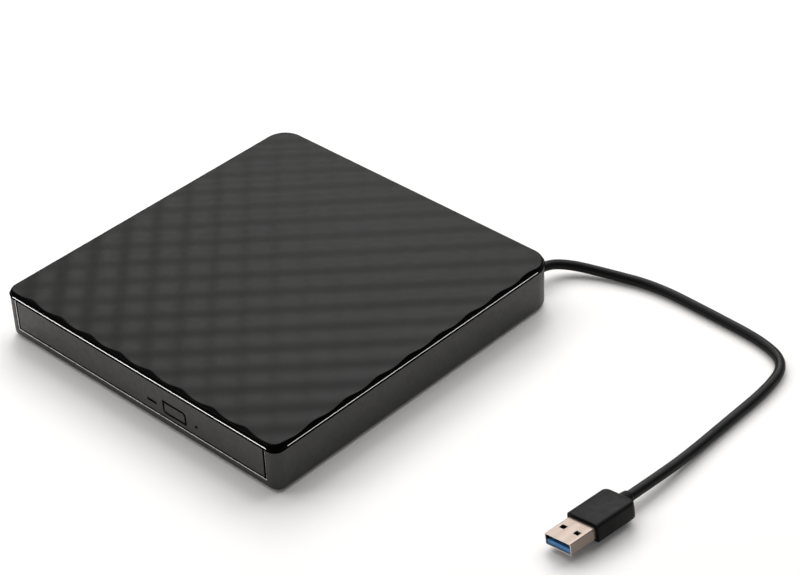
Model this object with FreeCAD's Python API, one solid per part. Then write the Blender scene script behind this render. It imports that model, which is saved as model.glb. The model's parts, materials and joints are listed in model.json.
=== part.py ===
import FreeCAD, Part
import math
import os

# External disc drive with a sliding tray, its cord and its plug.
# Millimetres. X runs along the tray's front, Y from the front to the rear, Z up.
# The origin is under the middle of the case, on the surface that its feet stand on.

V = FreeCAD.Vector

# Case
width = 145.0
depth = 149.0
height = 21.0
front_corner = 4.2
rear_corner = 9.4
foot_stand = 0.6
cover_thickness = 2.45
cover_rim_radius = 2.0
cover_pocket = 0.8
cover_rim_width = 3.4
lip_height = 0.35
lip_reach = 0.2
parting_gap = 0.6
parting_depth = 0.8
case_wall = 2.0
case_floor = 1.5
case_bottom_radius = 1.6
foot_radius = 5.0
foot_inset = 16.3
support_rib = 1.6
inner_support_x = 30.0
outer_support_inset = 12.0
cover_rib_inset = 19.0
clip_width = 7.0
clip_thickness = 1.0
clip_nose = 0.7
clip_nose_height = 1.2
clip_gap = 0.2
clip_depth = 3.4
front_clip_inset = 22.3
rear_clip_inset = 26.3
rear_clip_xs = (-36.0, 12.0)

# Tray front and what is in it
bezel_gap = 0.65
bezel_side = 6.2
bezel_thickness = 1.8
front_lip_z = 4.4
button_left = 14.6
button_width = 11.5
button_height = 4.8
button_low_z = 7.2
button_corner = 1.3
button_gap = 0.4
button_travel = 0.7
button_cap = 1.4
slot_left = 6.0
slot_width = 4.8
slot_height = 1.1
slot_mid_z = 9.1
pinhole_x = 31.7
pinhole_radius = 0.6

# Disc drive inside the case
side_space = 8.3
rear_space = 20.3
drive_height = 12.7
drive_lift = 2.2
drive_behind_front = 2.7
sheet = 0.5
lid_gap = 0.1
lid_skirt = 5.5
bead_height = 0.25
bead_radius = 27.0
bead_width = 3.0
mount_tab_inset = 14.0
mount_tab_reach = 6.0

# Rails
rail_sheet = 0.6
rail_height = 4.2
rail_reach = 2.2
rail_base_z = 5.4
rail_gap = 0.15
rail_front_gap = 0.6
rail_rear_gap = 4.0
sliding_rail_short = 5.5
sliding_web = 0.8
sliding_reach = 2.4

# Tray
tray_travel = 126.0
tray_side_gap = 0.7
tray_top_z = 14.2
tray_rear_gap = 1.8
disc_recess_radius = 60.6
disc_recess_depth = 2.0
small_recess_radius = 40.5
small_recess_depth = 0.5
tray_floor = 1.0
tray_skirt = 1.2
skirt_inset = 2.8
skirt_low_z = 5.6
runner_reach = 1.7
runner_height = 1.1
disc_front_margin = 2.4
bottom_plate_sheet = 0.45
bottom_plate_right = 24.0
bottom_plate_gap = 4.0

# Mechanism in the tray, along and across the sled's path from the spindle
sled_angle = 225.0
frame_z = 9.7
frame_sheet = 0.8
cover_sheet = 0.4
cover_plate_z = 11.3
rod_radius = 1.0
rod_z = 8.4
main_rod_v = 15.0
side_rod_v = -14.0
rod_start = 11.2
rod_end = 66.0
shaft_gap = 0.04
screw_v = 19.5
screw_radius = 1.0
screw_end = 59.4
sled_motor_radius = 2.6
sled_motor_start = -3.0
sled_motor_length = 12.0
lens_home = 24.0
sled_travel = 34.0
sled_half_length = 8.0
sled_half_width = 12.0
sled_low_z = 6.6
sled_top_z = 11.0
lens_travel = 0.4
screw_pitch = 3.0

# Spindle
rotor_radius = 12.6
rotor_wall = 0.7
rotor_low_z = 7.2
turntable_radius = 14.2
turntable_z = 12.3
turntable_thickness = 0.9
pad_thickness = 0.2
hub_radius = 7.4
hub_height = 2.8
spindle_shaft_radius = 1.5
stator_teeth = 9
claw_count = 3
claw_width = 3.0
claw_travel = 0.4

# Cord and plug
cord_diameter = 4.0
exit_inset = 12.7
exit_z = 6.5
grommet_flange = 1.0
grommet_flange_radius = 3.6
grommet_neck_radius = 2.85
lead_radius = 1.4
grip_width = 14.5
grip_length = 19.1
grip_height = 7.2
grip_side_radius = 1.3
grip_back_bevel = 0.8
collar_length = 3.8
collar_radius = 2.75
collar_end_radius = 2.5
shell_width = 12.0
shell_height = 4.5
shell_length = 12.1
shell_sheet = 0.32
shell_buried = 4.0
tongue_thickness = 1.84
plug_turn = -3.9
plug_roll = 9.9
plug_tip_lift = 1.3
plug_back_x = 167.1
plug_back_y = -3.45

# Places that follow from the sizes above
front_y = -depth / 2 + lip_reach
rear_y = depth / 2 - lip_reach
side_x = width / 2 - lip_reach
cover_z = height - cover_thickness
cover_inside_z = cover_z + cover_pocket
case_top_z = cover_z - parting_gap
floor_z = foot_stand + case_floor
wall_inner_x = side_x - case_wall
wall_inner_y = rear_y - case_wall
pan_z = floor_z + drive_lift
pan_floor_z = pan_z + sheet
lid_z = pan_z + drive_height - sheet
drive_x = side_x - side_space
drive_front_y = front_y + drive_behind_front
drive_rear_y = rear_y - rear_space
pan_x = drive_x - sheet - lid_gap
pan_inner_x = pan_x - sheet
bezel_low_z = front_lip_z + bezel_gap
bezel_rear_y = front_y + bezel_thickness
button_x = button_left + button_width / 2
button_z = button_low_z + button_height / 2
rail_front_y = drive_front_y + rail_front_gap
runner_mid_z = rail_base_z + rail_height / 2
tray_front_y = bezel_rear_y
tray_rear_y = drive_rear_y - tray_rear_gap
tray_half_width = pan_inner_x - tray_side_gap
skirt_x = tray_half_width - skirt_inset
bezel_half_width = side_x - bezel_side
disc_centre_y = tray_front_y + disc_front_margin + disc_recess_radius
mount_tab_x = drive_x - mount_tab_inset
exit_x = side_x - exit_inset
foot_x = side_x - foot_inset
foot_y = rear_y - foot_inset
rail_rear_y = drive_rear_y - rail_rear_gap
recess_z = tray_top_z - disc_recess_depth
tray_under_z = recess_z - tray_floor
board_thickness = 1.0
board_gap = 0.6
main_board_z = pan_floor_z + board_gap
main_board_top = main_board_z + board_thickness
hub_top_z = turntable_z + turntable_thickness + hub_height
plug_axis_z = grip_side_radius + ((grip_width / 2 - grip_side_radius) * math.sin(math.radians(plug_roll))
                                  + (grip_height / 2 - grip_side_radius) * math.cos(math.radians(plug_roll)))


def box(x0, x1, y0, y1, z0, z1):
    return Part.makeBox(x1 - x0, y1 - y0, z1 - z0, V(x0, y0, z0))


def post(x, y, z0, z1, radius):
    return Part.makeCylinder(radius, z1 - z0, V(x, y, z0))


def rod_y(x, z, y0, y1, radius):
    return Part.makeCylinder(radius, y1 - y0, V(x, y0, z), V(0, 1, 0))


def rod_x(y, z, x0, x1, radius):
    return Part.makeCylinder(radius, x1 - x0, V(x0, y, z), V(1, 0, 0))


def ring(x, y, z0, z1, outer, inner):
    return post(x, y, z0, z1, outer).cut(post(x, y, z0, z1, inner))


def prism(points, z0, z1):
    corners = [V(x, y, z0) for x, y in points]
    face = Part.Face(Part.makePolygon(corners + corners[:1]))
    return face.extrude(V(0, 0, z1 - z0))


def joined(shapes):
    return shapes[0].multiFuse(shapes[1:]).removeSplitter()


def group(shapes):
    return Part.makeCompound(shapes)


def mirrored(shape):
    return shape.mirror(V(0, 0, 0), V(1, 0, 0))


def both_sides(shape):
    return [shape, mirrored(shape)]


def level_edges(shape, z):
    return [e for e in shape.Edges if all(abs(v.Z - z) < 1e-6 for v in e.Vertexes)]


def rounded_block(half_x, y0, y1, z0, z1, front_radius, rear_radius):
    corners = [
        (half_x, y1, rear_radius, 0),
        (-half_x, y1, rear_radius, 90),
        (-half_x, y0, front_radius, 180),
        (half_x, y0, front_radius, 270),
    ]
    arcs = []
    for x, y, radius, turn in corners:
        centre = V(x - math.copysign(radius, x), y - math.copysign(radius, y - (y0 + y1) / 2), z0)
        arcs.append([centre + V(radius * math.cos(a), radius * math.sin(a), 0)
                     for a in (math.radians(turn + step) for step in (0, 45, 90))])
    edges = []
    for here, after in zip(arcs, arcs[1:] + arcs[:1]):
        edges.append(Part.Arc(*here).toShape())
        edges.append(Part.LineSegment(here[2], after[0]).toShape())
    return Part.Face(Part.Wire(edges)).extrude(V(0, 0, z1 - z0))


def leaf_block(x0, x1, z0, z1, radius, y0, y1):
    """A block along Y whose upper right and lower left corners are rounded."""
    bend = radius * (1 - math.sqrt(0.5))
    right_arc = Part.Arc(V(x1 - radius, y0, z1), V(x1 - bend, y0, z1 - bend), V(x1, y0, z1 - radius))
    left_arc = Part.Arc(V(x0 + radius, y0, z0), V(x0 + bend, y0, z0 + bend), V(x0, y0, z0 + radius))
    edges = [
        Part.LineSegment(V(x0, y0, z1), V(x1 - radius, y0, z1)).toShape(),
        right_arc.toShape(),
        Part.LineSegment(V(x1, y0, z1 - radius), V(x1, y0, z0)).toShape(),
        Part.LineSegment(V(x1, y0, z0), V(x0 + radius, y0, z0)).toShape(),
        left_arc.toShape(),
        Part.LineSegment(V(x0, y0, z0 + radius), V(x0, y0, z1)).toShape(),
    ]
    return Part.Face(Part.Wire(edges)).extrude(V(0, y1 - y0, 0))


def case_outline(inset, z0, z1):
    """The case's plan shape, drawn in from its walls by the inset."""
    return rounded_block(side_x - inset, front_y + inset, rear_y - inset, z0, z1,
                         front_corner - inset, rear_corner - inset)


def on_sled_path(shape):
    """Places a shape drawn along and across the sled's path from the spindle."""
    placed = shape.copy()
    placed.rotate(V(0, 0, 0), V(0, 0, 1), sled_angle)
    placed.translate(V(0, disc_centre_y, 0))
    return placed


# Case pieces

def cover_clip(nose_out, back, grow):
    """A clip along Y on a wall's inner side at X 0, hung from the cover's edge, grown for its recess."""
    z1 = cover_z - clip_depth + clip_nose_height
    nose = box(0, nose_out + grow, -clip_width / 2 - grow, clip_width / 2 + grow,
               cover_z - clip_depth - grow, z1 + grow)
    if not back:
        return nose
    blade = box(-clip_gap - clip_thickness, -clip_gap, -clip_width / 2, clip_width / 2,
                cover_z - clip_depth, cover_z)
    foot = box(-clip_gap, nose_out, -clip_width / 2, clip_width / 2, cover_z - clip_depth, z1)
    return joined([blade, foot])


def clips(back, grow):
    shapes = []
    for y in (front_y + front_clip_inset, 0.0, rear_y - rear_clip_inset):
        right = cover_clip(clip_nose, back, grow).translate(V(wall_inner_x, y, 0))
        shapes += both_sides(right)
    for x in rear_clip_xs:
        rear = cover_clip(clip_nose, back, grow).rotate(V(0, 0, 0), V(0, 0, 1), 90)
        shapes.append(rear.translate(V(x, wall_inner_y, 0)))
    return shapes


def make_top_cover():
    rim = case_outline(0, cover_z, height)
    rim = rim.makeFillet(cover_rim_radius, level_edges(rim, height))
    lip = rounded_block(width / 2, -depth / 2, depth / 2, cover_z, cover_z + lip_height,
                        front_corner + lip_reach, rear_corner + lip_reach)
    lip = lip.makeChamfer(lip_reach * 0.95, level_edges(lip, cover_z + lip_height))
    cover = rim.fuse(lip).cut(case_outline(cover_rim_width, cover_z, cover_inside_z))
    rib_z = lid_z + sheet
    rib_x = drive_x - cover_rib_inset
    rib = box(rib_x - 0.6, rib_x + 0.6, drive_front_y + 8, drive_rear_y - 8, rib_z, cover_inside_z)
    return joined([cover] + both_sides(rib) + clips(True, 0))


def pan_post_y():
    return drive_rear_y + mount_tab_reach / 2


def square_post(x, y, half, z0, z1):
    return box(x - half, x + half, y - half, y + half, z0, z1)


def make_lower_case():
    body = case_outline(0, foot_stand, case_top_z)
    body = body.makeFillet(case_bottom_radius, level_edges(body, foot_stand))
    tongue = case_outline(parting_depth, case_top_z - 1, cover_z)
    case = body.fuse(tongue).cut(case_outline(case_wall, floor_z, cover_z))
    opening = box(-bezel_half_width - bezel_gap, bezel_half_width + bezel_gap,
                  front_y - 1, front_y + case_wall + 0.1, front_lip_z, cover_z)
    case = case.cut(group([opening] + clips(False, clip_gap)))
    added = []
    for x in (inner_support_x, drive_x - outer_support_inset):
        added += both_sides(box(x - support_rib / 2, x + support_rib / 2,
                                drive_front_y + 10, drive_rear_y - 8, floor_z, pan_z))
    for y in (drive_front_y + 9, drive_rear_y - 12):
        added += both_sides(box(drive_x + 0.3, wall_inner_x, y - 3, y + 3, floor_z, pan_z + 6))
    added += both_sides(square_post(mount_tab_x, pan_post_y(), 2.4, floor_z, pan_z))
    added += [square_post(x, bridge_front_y() + bridge_post_inset, 2.2, floor_z, bridge_z) for x in bridge_posts]
    cord_hole = rod_y(exit_x, exit_z, wall_inner_y - 1, rear_y + 1, grommet_neck_radius + press_gap)
    return joined([case] + added).cut(cord_hole)


def foot_places():
    return [(sx * foot_x, sy * foot_y) for sx in (1, -1) for sy in (1, -1)]


def make_rubber_feet():
    return group([post(x, y, 0, foot_stand, foot_radius) for x, y in foot_places()])


# Disc drive's shell, rails and boards

press_gap = 0.05
connector_inset_left = 17.9
connector_left = -(pan_inner_x - connector_inset_left)
connector_width = 37.0
connector_height = 3.6
connector_reach = 3.0
connector_inset = 4.0
connector_wall = 2.0
power_slot_width = 8.0
power_slot_gap = 3.0
blade_slot_depth = 3.0
blade_slot_height = 1.2
lead_header = 5.5
lead_inset = 4.0
lead_bend = 4.0
lead_width = 1.2
lead_height = 1.8
cable_left = 25.5
cable_width = 12.0
cable_thickness = 0.2
cable_lift = 0.05
cable_loop_y = drive_front_y + 30.6
cable_loop_radius = 1.4
tray_board_y = drive_rear_y - 42.0
tray_board_length = 14.0
tray_board_sheet = 1.0
main_board_side_gap = 8.0
main_board_length = 26.6
main_board_rear_gap = 1.4
main_board_x = drive_x - main_board_side_gap
main_board_rear_y = drive_rear_y - main_board_rear_gap
main_board_front_y = main_board_rear_y - main_board_length
cable_socket_y = main_board_front_y + 4.0
cable_socket_length = 3.2
board_rest_inset = 6.0
board_rest_half = 1.6
bridge_left = connector_left - 5.0
bridge_width = 70.0
bridge_gap = 2.0
bridge_depth = 11.5
bridge_z = 7.0
bridge_posts = (bridge_left + 6.0, bridge_left + 56.0)
bridge_post_inset = 7.0
latch_post_x = pan_inner_x - 16.9
latch_post_y = tray_front_y + 14.5
latch_post_radius = 1.2
latch_post_top = 7.3
ejector_x = -(pan_inner_x - 12.9)
ejector_z = 8.9
ejector_travel = 10.0
ejector_radius = 2.0
ejector_front_y = drive_rear_y - 18.5
ejector_length = 14.5
ejector_guide_front = ejector_front_y + 1.5


def make_drive_base_pan():
    low = box(-pan_x, pan_x, drive_front_y, drive_rear_y, pan_z, pan_floor_z)
    sides = both_sides(box(pan_inner_x, pan_x, drive_front_y, drive_rear_y, pan_z, lid_z - 0.1))
    rear = box(-pan_x, pan_x, drive_rear_y - sheet, drive_rear_y, pan_z, lid_z - 0.1)
    tab = box(mount_tab_x - 4, mount_tab_x + 4, drive_rear_y, drive_rear_y + mount_tab_reach, pan_z, pan_floor_z)
    rests = []
    for y in (main_board_front_y + board_rest_half, main_board_rear_y - board_rest_half):
        rests += both_sides(square_post(main_board_x - board_rest_inset, y, board_rest_half,
                                        pan_floor_z, main_board_z))
    hook_post = post(latch_post_x, latch_post_y, pan_floor_z, latch_post_top, latch_post_radius)
    window = box(connector_left - 1, connector_left + connector_width + 1, drive_rear_y - 1, drive_rear_y + 1,
                 main_board_top - 0.6, main_board_top + connector_height + 0.6)
    return joined([low, rear, hook_post] + sides + both_sides(tab) + rests).cut(window)


def make_drive_lid():
    top = box(-drive_x, drive_x, drive_front_y, drive_rear_y + lid_gap + sheet, lid_z, lid_z + sheet)
    sides = both_sides(box(drive_x - sheet, drive_x, drive_front_y, drive_rear_y + lid_gap + sheet,
                           lid_z - lid_skirt, lid_z))
    rear = box(-drive_x, drive_x, drive_rear_y + lid_gap, drive_rear_y + lid_gap + sheet, lid_z - 4, lid_z)
    bead = ring(0, 0, lid_z + sheet, lid_z + sheet + bead_height, bead_radius, bead_radius - bead_width)
    return joined([top, rear, bead] + sides)


def fixed_rail_x():
    return pan_inner_x - rail_sheet


def make_fixed_rail():
    x0 = pan_inner_x - rail_reach
    y1 = rail_rear_y
    top = rail_base_z + rail_height
    web = box(fixed_rail_x(), pan_inner_x, rail_front_y, y1, rail_base_z, top)
    low = box(x0, fixed_rail_x(), rail_front_y, y1, rail_base_z, rail_base_z + rail_sheet)
    high = box(x0, fixed_rail_x(), rail_front_y, y1, top - rail_sheet, top)
    stop = box(x0, fixed_rail_x(), y1 - 1, y1, rail_base_z, top)
    return joined([web, low, high, stop])


def make_sliding_rail():
    x1 = fixed_rail_x() - rail_gap
    x0 = x1 - sliding_reach
    z0 = rail_base_z + rail_sheet + rail_gap
    z1 = rail_base_z + rail_height - rail_sheet - rail_gap
    y0 = rail_front_y + 0.5
    y1 = rail_rear_y - sliding_rail_short
    web = box(x1 - sliding_web, x1, y0, y1, z0, z1)
    low = box(x0, x1 - sliding_web, y0, y1, z0, z0 + rail_sheet)
    high = box(x0, x1 - sliding_web, y0, y1, z1 - rail_sheet, z1)
    return joined([web, low, high])


def make_main_board():
    board = box(-main_board_x, main_board_x, main_board_front_y, main_board_rear_y,
                main_board_z, main_board_top)
    notch = box(cable_left - 2.5, cable_left + cable_width + 2.5, main_board_front_y, cable_socket_y,
                main_board_z, main_board_top)
    return board.cut(notch)


# Each chip: middle X, width, start behind the board's front edge, length, height
main_board_chip_sizes = (
    (-5.0, 14.0, 6.0, 14.0, 1.2),
    (14.0, 8.0, 4.0, 8.0, 1.0),
    (25.0, 6.0, 14.0, 8.0, 0.9),
    (-26.0, 8.0, 6.0, 10.0, 1.0),
)
main_cap_x = 36.0
main_cap_inset = 16.0
bridge_chip_sizes = (
    (2.0, 8.0, 4.0, 7.0, 0.9),
    (9.6, 3.2, 2.0, 2.5, 0.8),
    (-27.5, 5.0, 6.0, 4.0, 0.9),
)
socket_depth = 4.0
socket_height = 2.0


def make_main_board_chips():
    top = main_board_top
    y = main_board_front_y
    chips = [box(x - w / 2, x + w / 2, y + start, y + start + length, top, top + tall)
             for x, w, start, length, tall in main_board_chip_sizes]
    cap = post(main_cap_x, y + main_cap_inset, top, top + 2.4, 2.0)
    socket = box(cable_left - 1, cable_left + cable_width + 1, cable_socket_y, cable_socket_y + cable_socket_length,
                 top, top + 1.0)
    return group(chips + [cap, socket])


def make_drive_connector():
    y1 = drive_rear_y + connector_reach
    right = connector_left + connector_width
    body = box(connector_left, right, drive_rear_y - connector_inset, y1,
               main_board_top, main_board_top + connector_height)
    low_z = main_board_top + (connector_height - blade_slot_height) / 2
    power_x = connector_left + connector_wall
    data_x = power_x + power_slot_width + power_slot_gap
    slots = [box(x0, x1, y1 - blade_slot_depth, y1, low_z, low_z + blade_slot_height)
             for x0, x1 in ((power_x, power_x + power_slot_width), (data_x, right - connector_wall))]
    return body.cut(group(slots))


def bridge_front_y():
    return drive_rear_y + connector_reach + bridge_gap


def make_bridge_board():
    board = box(bridge_left, bridge_left + bridge_width, bridge_front_y(), bridge_front_y() + bridge_depth,
                bridge_z, bridge_z + board_thickness)
    return board


def make_bridge_board_parts():
    top = bridge_z + board_thickness
    y = bridge_front_y()
    right = bridge_left + bridge_width
    chips = [box(x - w / 2, x + w / 2, y + start, y + start + length, top, top + tall)
             for x, w, start, length, tall in bridge_chip_sizes]
    socket = box(connector_left, connector_left + connector_width, drive_rear_y + connector_reach,
                 y + socket_depth, top, top + socket_height)
    header = box(right - lead_header, right, y + lead_inset - 3, y + lead_inset + 3, exit_z - 1.9, bridge_z)
    return group(chips + [socket, header])


def make_cord_leads():
    """The cord's inner leads side by side: back from the wall, round a bend, along to the board."""
    z0 = exit_z - 1.4
    z1 = z0 + lead_height
    half = lead_width / 2
    mid_y = bridge_front_y() + lead_inset
    centre_x = exit_x - lead_bend
    centre_y = mid_y + lead_bend
    start = box(exit_x - half, exit_x + half, centre_y, wall_inner_y - grommet_flange, z0, z1)
    run = box(bridge_left + bridge_width, centre_x, mid_y - half, mid_y + half, z0, z1)
    corner = ring(centre_x, centre_y, z0, z1, lead_bend + half, lead_bend - half)
    corner = corner.common(box(centre_x, exit_x + half, mid_y - half, centre_y, z0, z1))
    return joined([start, corner, run])


def cable_top_z():
    return pan_floor_z + cable_lift + 2 * cable_loop_radius


def make_flat_cable():
    x0 = cable_left
    x1 = cable_left + cable_width
    low_z = pan_floor_z + cable_lift
    end_y = cable_socket_y
    low = box(x0, x1, cable_loop_y, end_y - 3, low_z, low_z + cable_thickness)
    high = box(x0, x1, cable_loop_y, tray_board_y, cable_top_z(), cable_top_z() + cable_thickness)
    mid = V(x0, cable_loop_y, low_z + cable_thickness / 2 + cable_loop_radius)
    loop = Part.makeCylinder(cable_loop_radius + cable_thickness / 2, x1 - x0, mid, V(1, 0, 0))
    loop = loop.cut(Part.makeCylinder(cable_loop_radius - cable_thickness / 2, x1 - x0, mid, V(1, 0, 0)))
    loop = loop.cut(box(x0, x1, cable_loop_y, cable_loop_y + 5, low_z - 1, cable_top_z() + 1))
    end_z = main_board_top + 0.1
    side = [V(x0, end_y - 3, low_z), V(x0, end_y - 0.8, end_z), V(x0, end_y, end_z),
            V(x0, end_y, end_z + cable_thickness), V(x0, end_y - 1.1, end_z + cable_thickness),
            V(x0, end_y - 3.3, low_z + cable_thickness), V(x0, end_y - 3.3, low_z)]
    rise = Part.Face(Part.makePolygon(side + side[:1])).extrude(V(x1 - x0, 0, 0))
    return joined([low, high, loop, rise])


def make_ejector_guide():
    block = box(ejector_x - 3, ejector_x + 3, ejector_guide_front, drive_rear_y - sheet,
                main_board_top, tray_under_z - 0.2)
    bore = rod_y(ejector_x, ejector_z, ejector_guide_front, drive_rear_y - sheet - 0.6, ejector_radius + 0.08)
    return block.cut(bore)


def make_ejector_plunger():
    return rod_y(ejector_x, ejector_z, ejector_front_y, ejector_front_y + ejector_length, ejector_radius)


def make_ejector_spring():
    return rod_y(ejector_x, ejector_z, ejector_front_y + ejector_length, drive_rear_y - sheet - 0.6,
                 ejector_radius - 0.4)


# Tray and its front

def mechanism_outline(grow):
    """The mechanism's outline along and across the sled's path, grown all round."""
    points = [(-22, -12), (-10, -18), (64, -17.5), (69, -9), (69, 9), (60, 22), (12, 24.5), (-4, 24.5),
              (-14, 18), (-22, 12)]
    wire = Part.makePolygon([V(u, v, 0) for u, v in points + points[:1]])
    if grow:
        wire = wire.makeOffset2D(grow)
    return Part.Face(wire)


grommet_spots = ((-25.5, -4.0), (30.0, -21.0), (35.0, 27.0))
tray_post_radius = 1.4
front_board_left = slot_left - 3.0
front_board_right = pinhole_x + 2.3
front_board_length = 10.0
front_board_gap = 1.9
front_board_z = 7.0
front_board_sheet = 0.8
front_board_posts = ((front_board_left + 3.0, tray_front_y + 9.5), (front_board_right - 6.5, tray_front_y + 9.5))
latch_arm_length = 14.0
latch_pivot_x = latch_post_x - 4.5
latch_pivot_y = latch_post_y + latch_arm_length
latch_pin_radius = 1.0
slider_half_width = 1.1
window_left = front_board_left - 2.0
window_right = front_board_right + 2.0
hook_x = bezel_half_width - 16.1
hook_half = 3.0


def tray_underside(x, y):
    """The height that hangs clear under the tray: its floor within the recess, its top plate beyond."""
    inside = math.hypot(x, y - disc_centre_y) < disc_recess_radius - 1
    return tray_under_z if inside else tray_top_z - tray_skirt


def runner_rear_y():
    return rail_rear_y - 1.5


def make_disc_tray():
    half = tray_half_width
    plate = rounded_block(half, tray_front_y, tray_rear_y, tray_under_z, tray_top_z, 1.0, 3.0)
    recess = post(0, disc_centre_y, recess_z, tray_top_z, disc_recess_radius)
    small_recess = post(0, disc_centre_y, recess_z - small_recess_depth, recess_z, small_recess_radius)
    under = rounded_block(half - tray_skirt, tray_front_y + tray_skirt, tray_rear_y - tray_skirt,
                          tray_under_z, tray_top_z - tray_skirt, 1.0, 3.0)
    under = under.cut(post(0, disc_centre_y, tray_under_z, tray_top_z, disc_recess_radius + tray_skirt))
    opening = on_sled_path(mechanism_outline(0.8).extrude(V(0, 0, 6)).translate(V(0, 0, tray_under_z - 1)))
    tray = plate.cut(group([recess, small_recess, under, opening]))
    skirt_rear = tray_rear_y - tray_skirt
    skirts = both_sides(box(skirt_x - tray_skirt, skirt_x, tray_front_y, skirt_rear,
                            skirt_low_z, tray_top_z - tray_skirt))
    skirts = [skirt.cut(group([recess])) for skirt in skirts]
    runners = both_sides(box(skirt_x, skirt_x + runner_reach, rail_front_y + 1, runner_rear_y(),
                             runner_mid_z - runner_height / 2, runner_mid_z + runner_height / 2))
    front = box(-skirt_x, skirt_x, tray_front_y, tray_front_y + tray_skirt, skirt_low_z, tray_under_z)
    pusher_tab = box(ejector_x - 3, ejector_x + 3, ejector_front_y - 1.5, ejector_front_y - 0.3,
                     ejector_z - 0.9, tray_underside(ejector_x, ejector_front_y))
    posts = [square_post(x, y, 1.4, front_board_z + front_board_sheet, tray_underside(x, y))
             for x, y in front_board_posts]
    posts += [on_sled_path(post(u, v, frame_z - 1.0, tray_under_z + 0.1, tray_post_radius))
              for u, v in grommet_spots]
    pivot = post(latch_pivot_x, latch_pivot_y, skirt_low_z, tray_under_z + 0.1, latch_pin_radius)
    guides = []
    for side in (1, -1):
        x = pinhole_x + side * (slider_half_width + 0.75)
        guides.append(box(x - 0.55, x + 0.55, tray_front_y + 4.5, tray_front_y + 10.5,
                          slot_mid_z - 0.8, tray_top_z - tray_skirt).cut(recess))
    tray = joined([tray, front, pusher_tab, pivot] + skirts + runners + posts + guides)
    holes = [box(window_left, window_right, tray_front_y - 1, tray_front_y + tray_skirt + 0.1,
                 skirt_low_z - 1, tray_top_z - 0.9)]
    holes += both_sides(box(hook_x - hook_half - 0.2, hook_x + hook_half + 0.2, tray_front_y - 1,
                            tray_front_y + tray_skirt + 0.1, tray_under_z - 1.5, tray_under_z))
    return tray.cut(group(holes))


def make_tray_board():
    """The small board under the tray that the flat cable plugs into."""
    x0 = cable_left - 1
    x1 = cable_left + cable_width + 1
    low_z = tray_under_z - tray_board_sheet
    board = box(x0, x1 + 2, tray_board_y - 2, tray_board_y - 2 + tray_board_length, low_z, tray_under_z)
    socket = box(x0, x1, tray_board_y, tray_board_y + cable_socket_length, cable_top_z() - 0.6, low_z)
    return board.fuse(socket)


def slot_block(y0, y1, grow):
    return box(slot_left - grow, slot_left + slot_width + grow, y0, y1,
               slot_mid_z - slot_height / 2 - grow, slot_mid_z + slot_height / 2 + grow)


def make_tray_bezel():
    panel = box(-bezel_half_width, bezel_half_width, front_y, bezel_rear_y, bezel_low_z, case_top_z)
    rim = [e for e in panel.Edges if all(abs(v.Y - front_y) < 1e-6 for v in e.Vertexes)]
    panel = panel.makeFillet(0.35, rim)
    hooks = both_sides(box(hook_x - hook_half, hook_x + hook_half, bezel_rear_y, bezel_rear_y + 3.5,
                           tray_under_z - 1.3, tray_under_z - 0.1))
    holes = [
        leaf_block(button_left - button_gap, button_left + button_width + button_gap,
                   button_low_z - button_gap, button_low_z + button_height + button_gap,
                   button_corner + button_gap, front_y - 1, bezel_rear_y + 1),
        slot_block(front_y - 1, bezel_rear_y + 1, 0),
        rod_y(pinhole_x, slot_mid_z, front_y - 1, bezel_rear_y + 1, pinhole_radius),
    ]
    return joined([panel] + hooks).cut(group(holes))


def make_eject_button():
    cap = leaf_block(button_left, button_left + button_width, button_low_z, button_low_z + button_height,
                     button_corner, front_y, front_y + button_cap)
    front = [e for e in cap.Edges if all(abs(v.Y - front_y) < 1e-6 for v in e.Vertexes)]
    cap = cap.makeChamfer(0.15, front)
    neck = box(button_left + 1, button_left + button_width - 1, front_y + button_cap, bezel_rear_y + 0.2,
               button_low_z + 0.8, button_low_z + button_height - 0.8)
    flange = box(button_left - 1, button_left + button_width + 1, bezel_rear_y + 0.2, bezel_rear_y + 0.7,
                 button_low_z - 0.8, button_low_z + button_height + 0.8)
    stem = rod_y(button_x, button_z, bezel_rear_y + 0.7, bezel_rear_y + 1.2, 1.2)
    return joined([cap, neck, flange, stem])


switch_half_width = 2.75
switch_front_y_gap = 2.6
plunger_travel = 0.35


def switch_front_y():
    return bezel_rear_y + switch_front_y_gap


def make_eject_switch():
    body = box(button_x - switch_half_width, button_x + switch_half_width, switch_front_y(),
               switch_front_y() + 3.9, front_board_z + front_board_sheet, button_z + 1.4)
    bore = rod_y(button_x, button_z, switch_front_y(), switch_front_y() + 1.6, 0.98)
    return body.cut(bore)


def make_switch_plunger():
    return rod_y(button_x, button_z, switch_front_y() - 1.0, switch_front_y() + 0.9, 0.9)


def make_front_board():
    y0 = bezel_rear_y + front_board_gap
    return box(front_board_left, front_board_right, y0, y0 + front_board_length,
               front_board_z, front_board_z + front_board_sheet)


def make_indicator_lamp():
    x = slot_left + slot_width / 2
    y = bezel_rear_y + front_board_gap + 0.05
    base = box(x - 0.8, x + 0.8, y, y + 1.1, front_board_z + front_board_sheet, slot_mid_z + 0.6)
    return base


def make_indicator_lens():
    return slot_block(front_y + 0.4, bezel_rear_y + 1.6, -0.06)


def make_tray_bottom_plate():
    z1 = skirt_low_z
    left = -skirt_x + 0.4
    rear = main_board_front_y - bottom_plate_gap
    right = bottom_plate_right
    front = tray_front_y + 1.5
    step_x = right - 22.0
    outline = [(left, front), (step_x, front), (step_x, front + 13), (right, front + 27), (right, rear - 8),
               (right - 8, rear), (left, rear)]
    return prism(outline, z1 - bottom_plate_sheet, z1)


# Mechanism

ear_radius = 4.5
grommet_radius = 3.2
post_gap = 0.05
base_spots = (150.0, 210.0, 270.0)
base_spot_radius = 17.0
base_z = 6.0
base_sheet = 0.8
cover_tabs = ((-21.6, 6.5, 0), (40.0, -16.4, 90), (66.5, 10.5, 60), (30.0, 23.0, 90))


def square_bore(u0, u1, v, z, half):
    return box(u0, u1, v - half, v + half, z - half, z + half)


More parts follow.
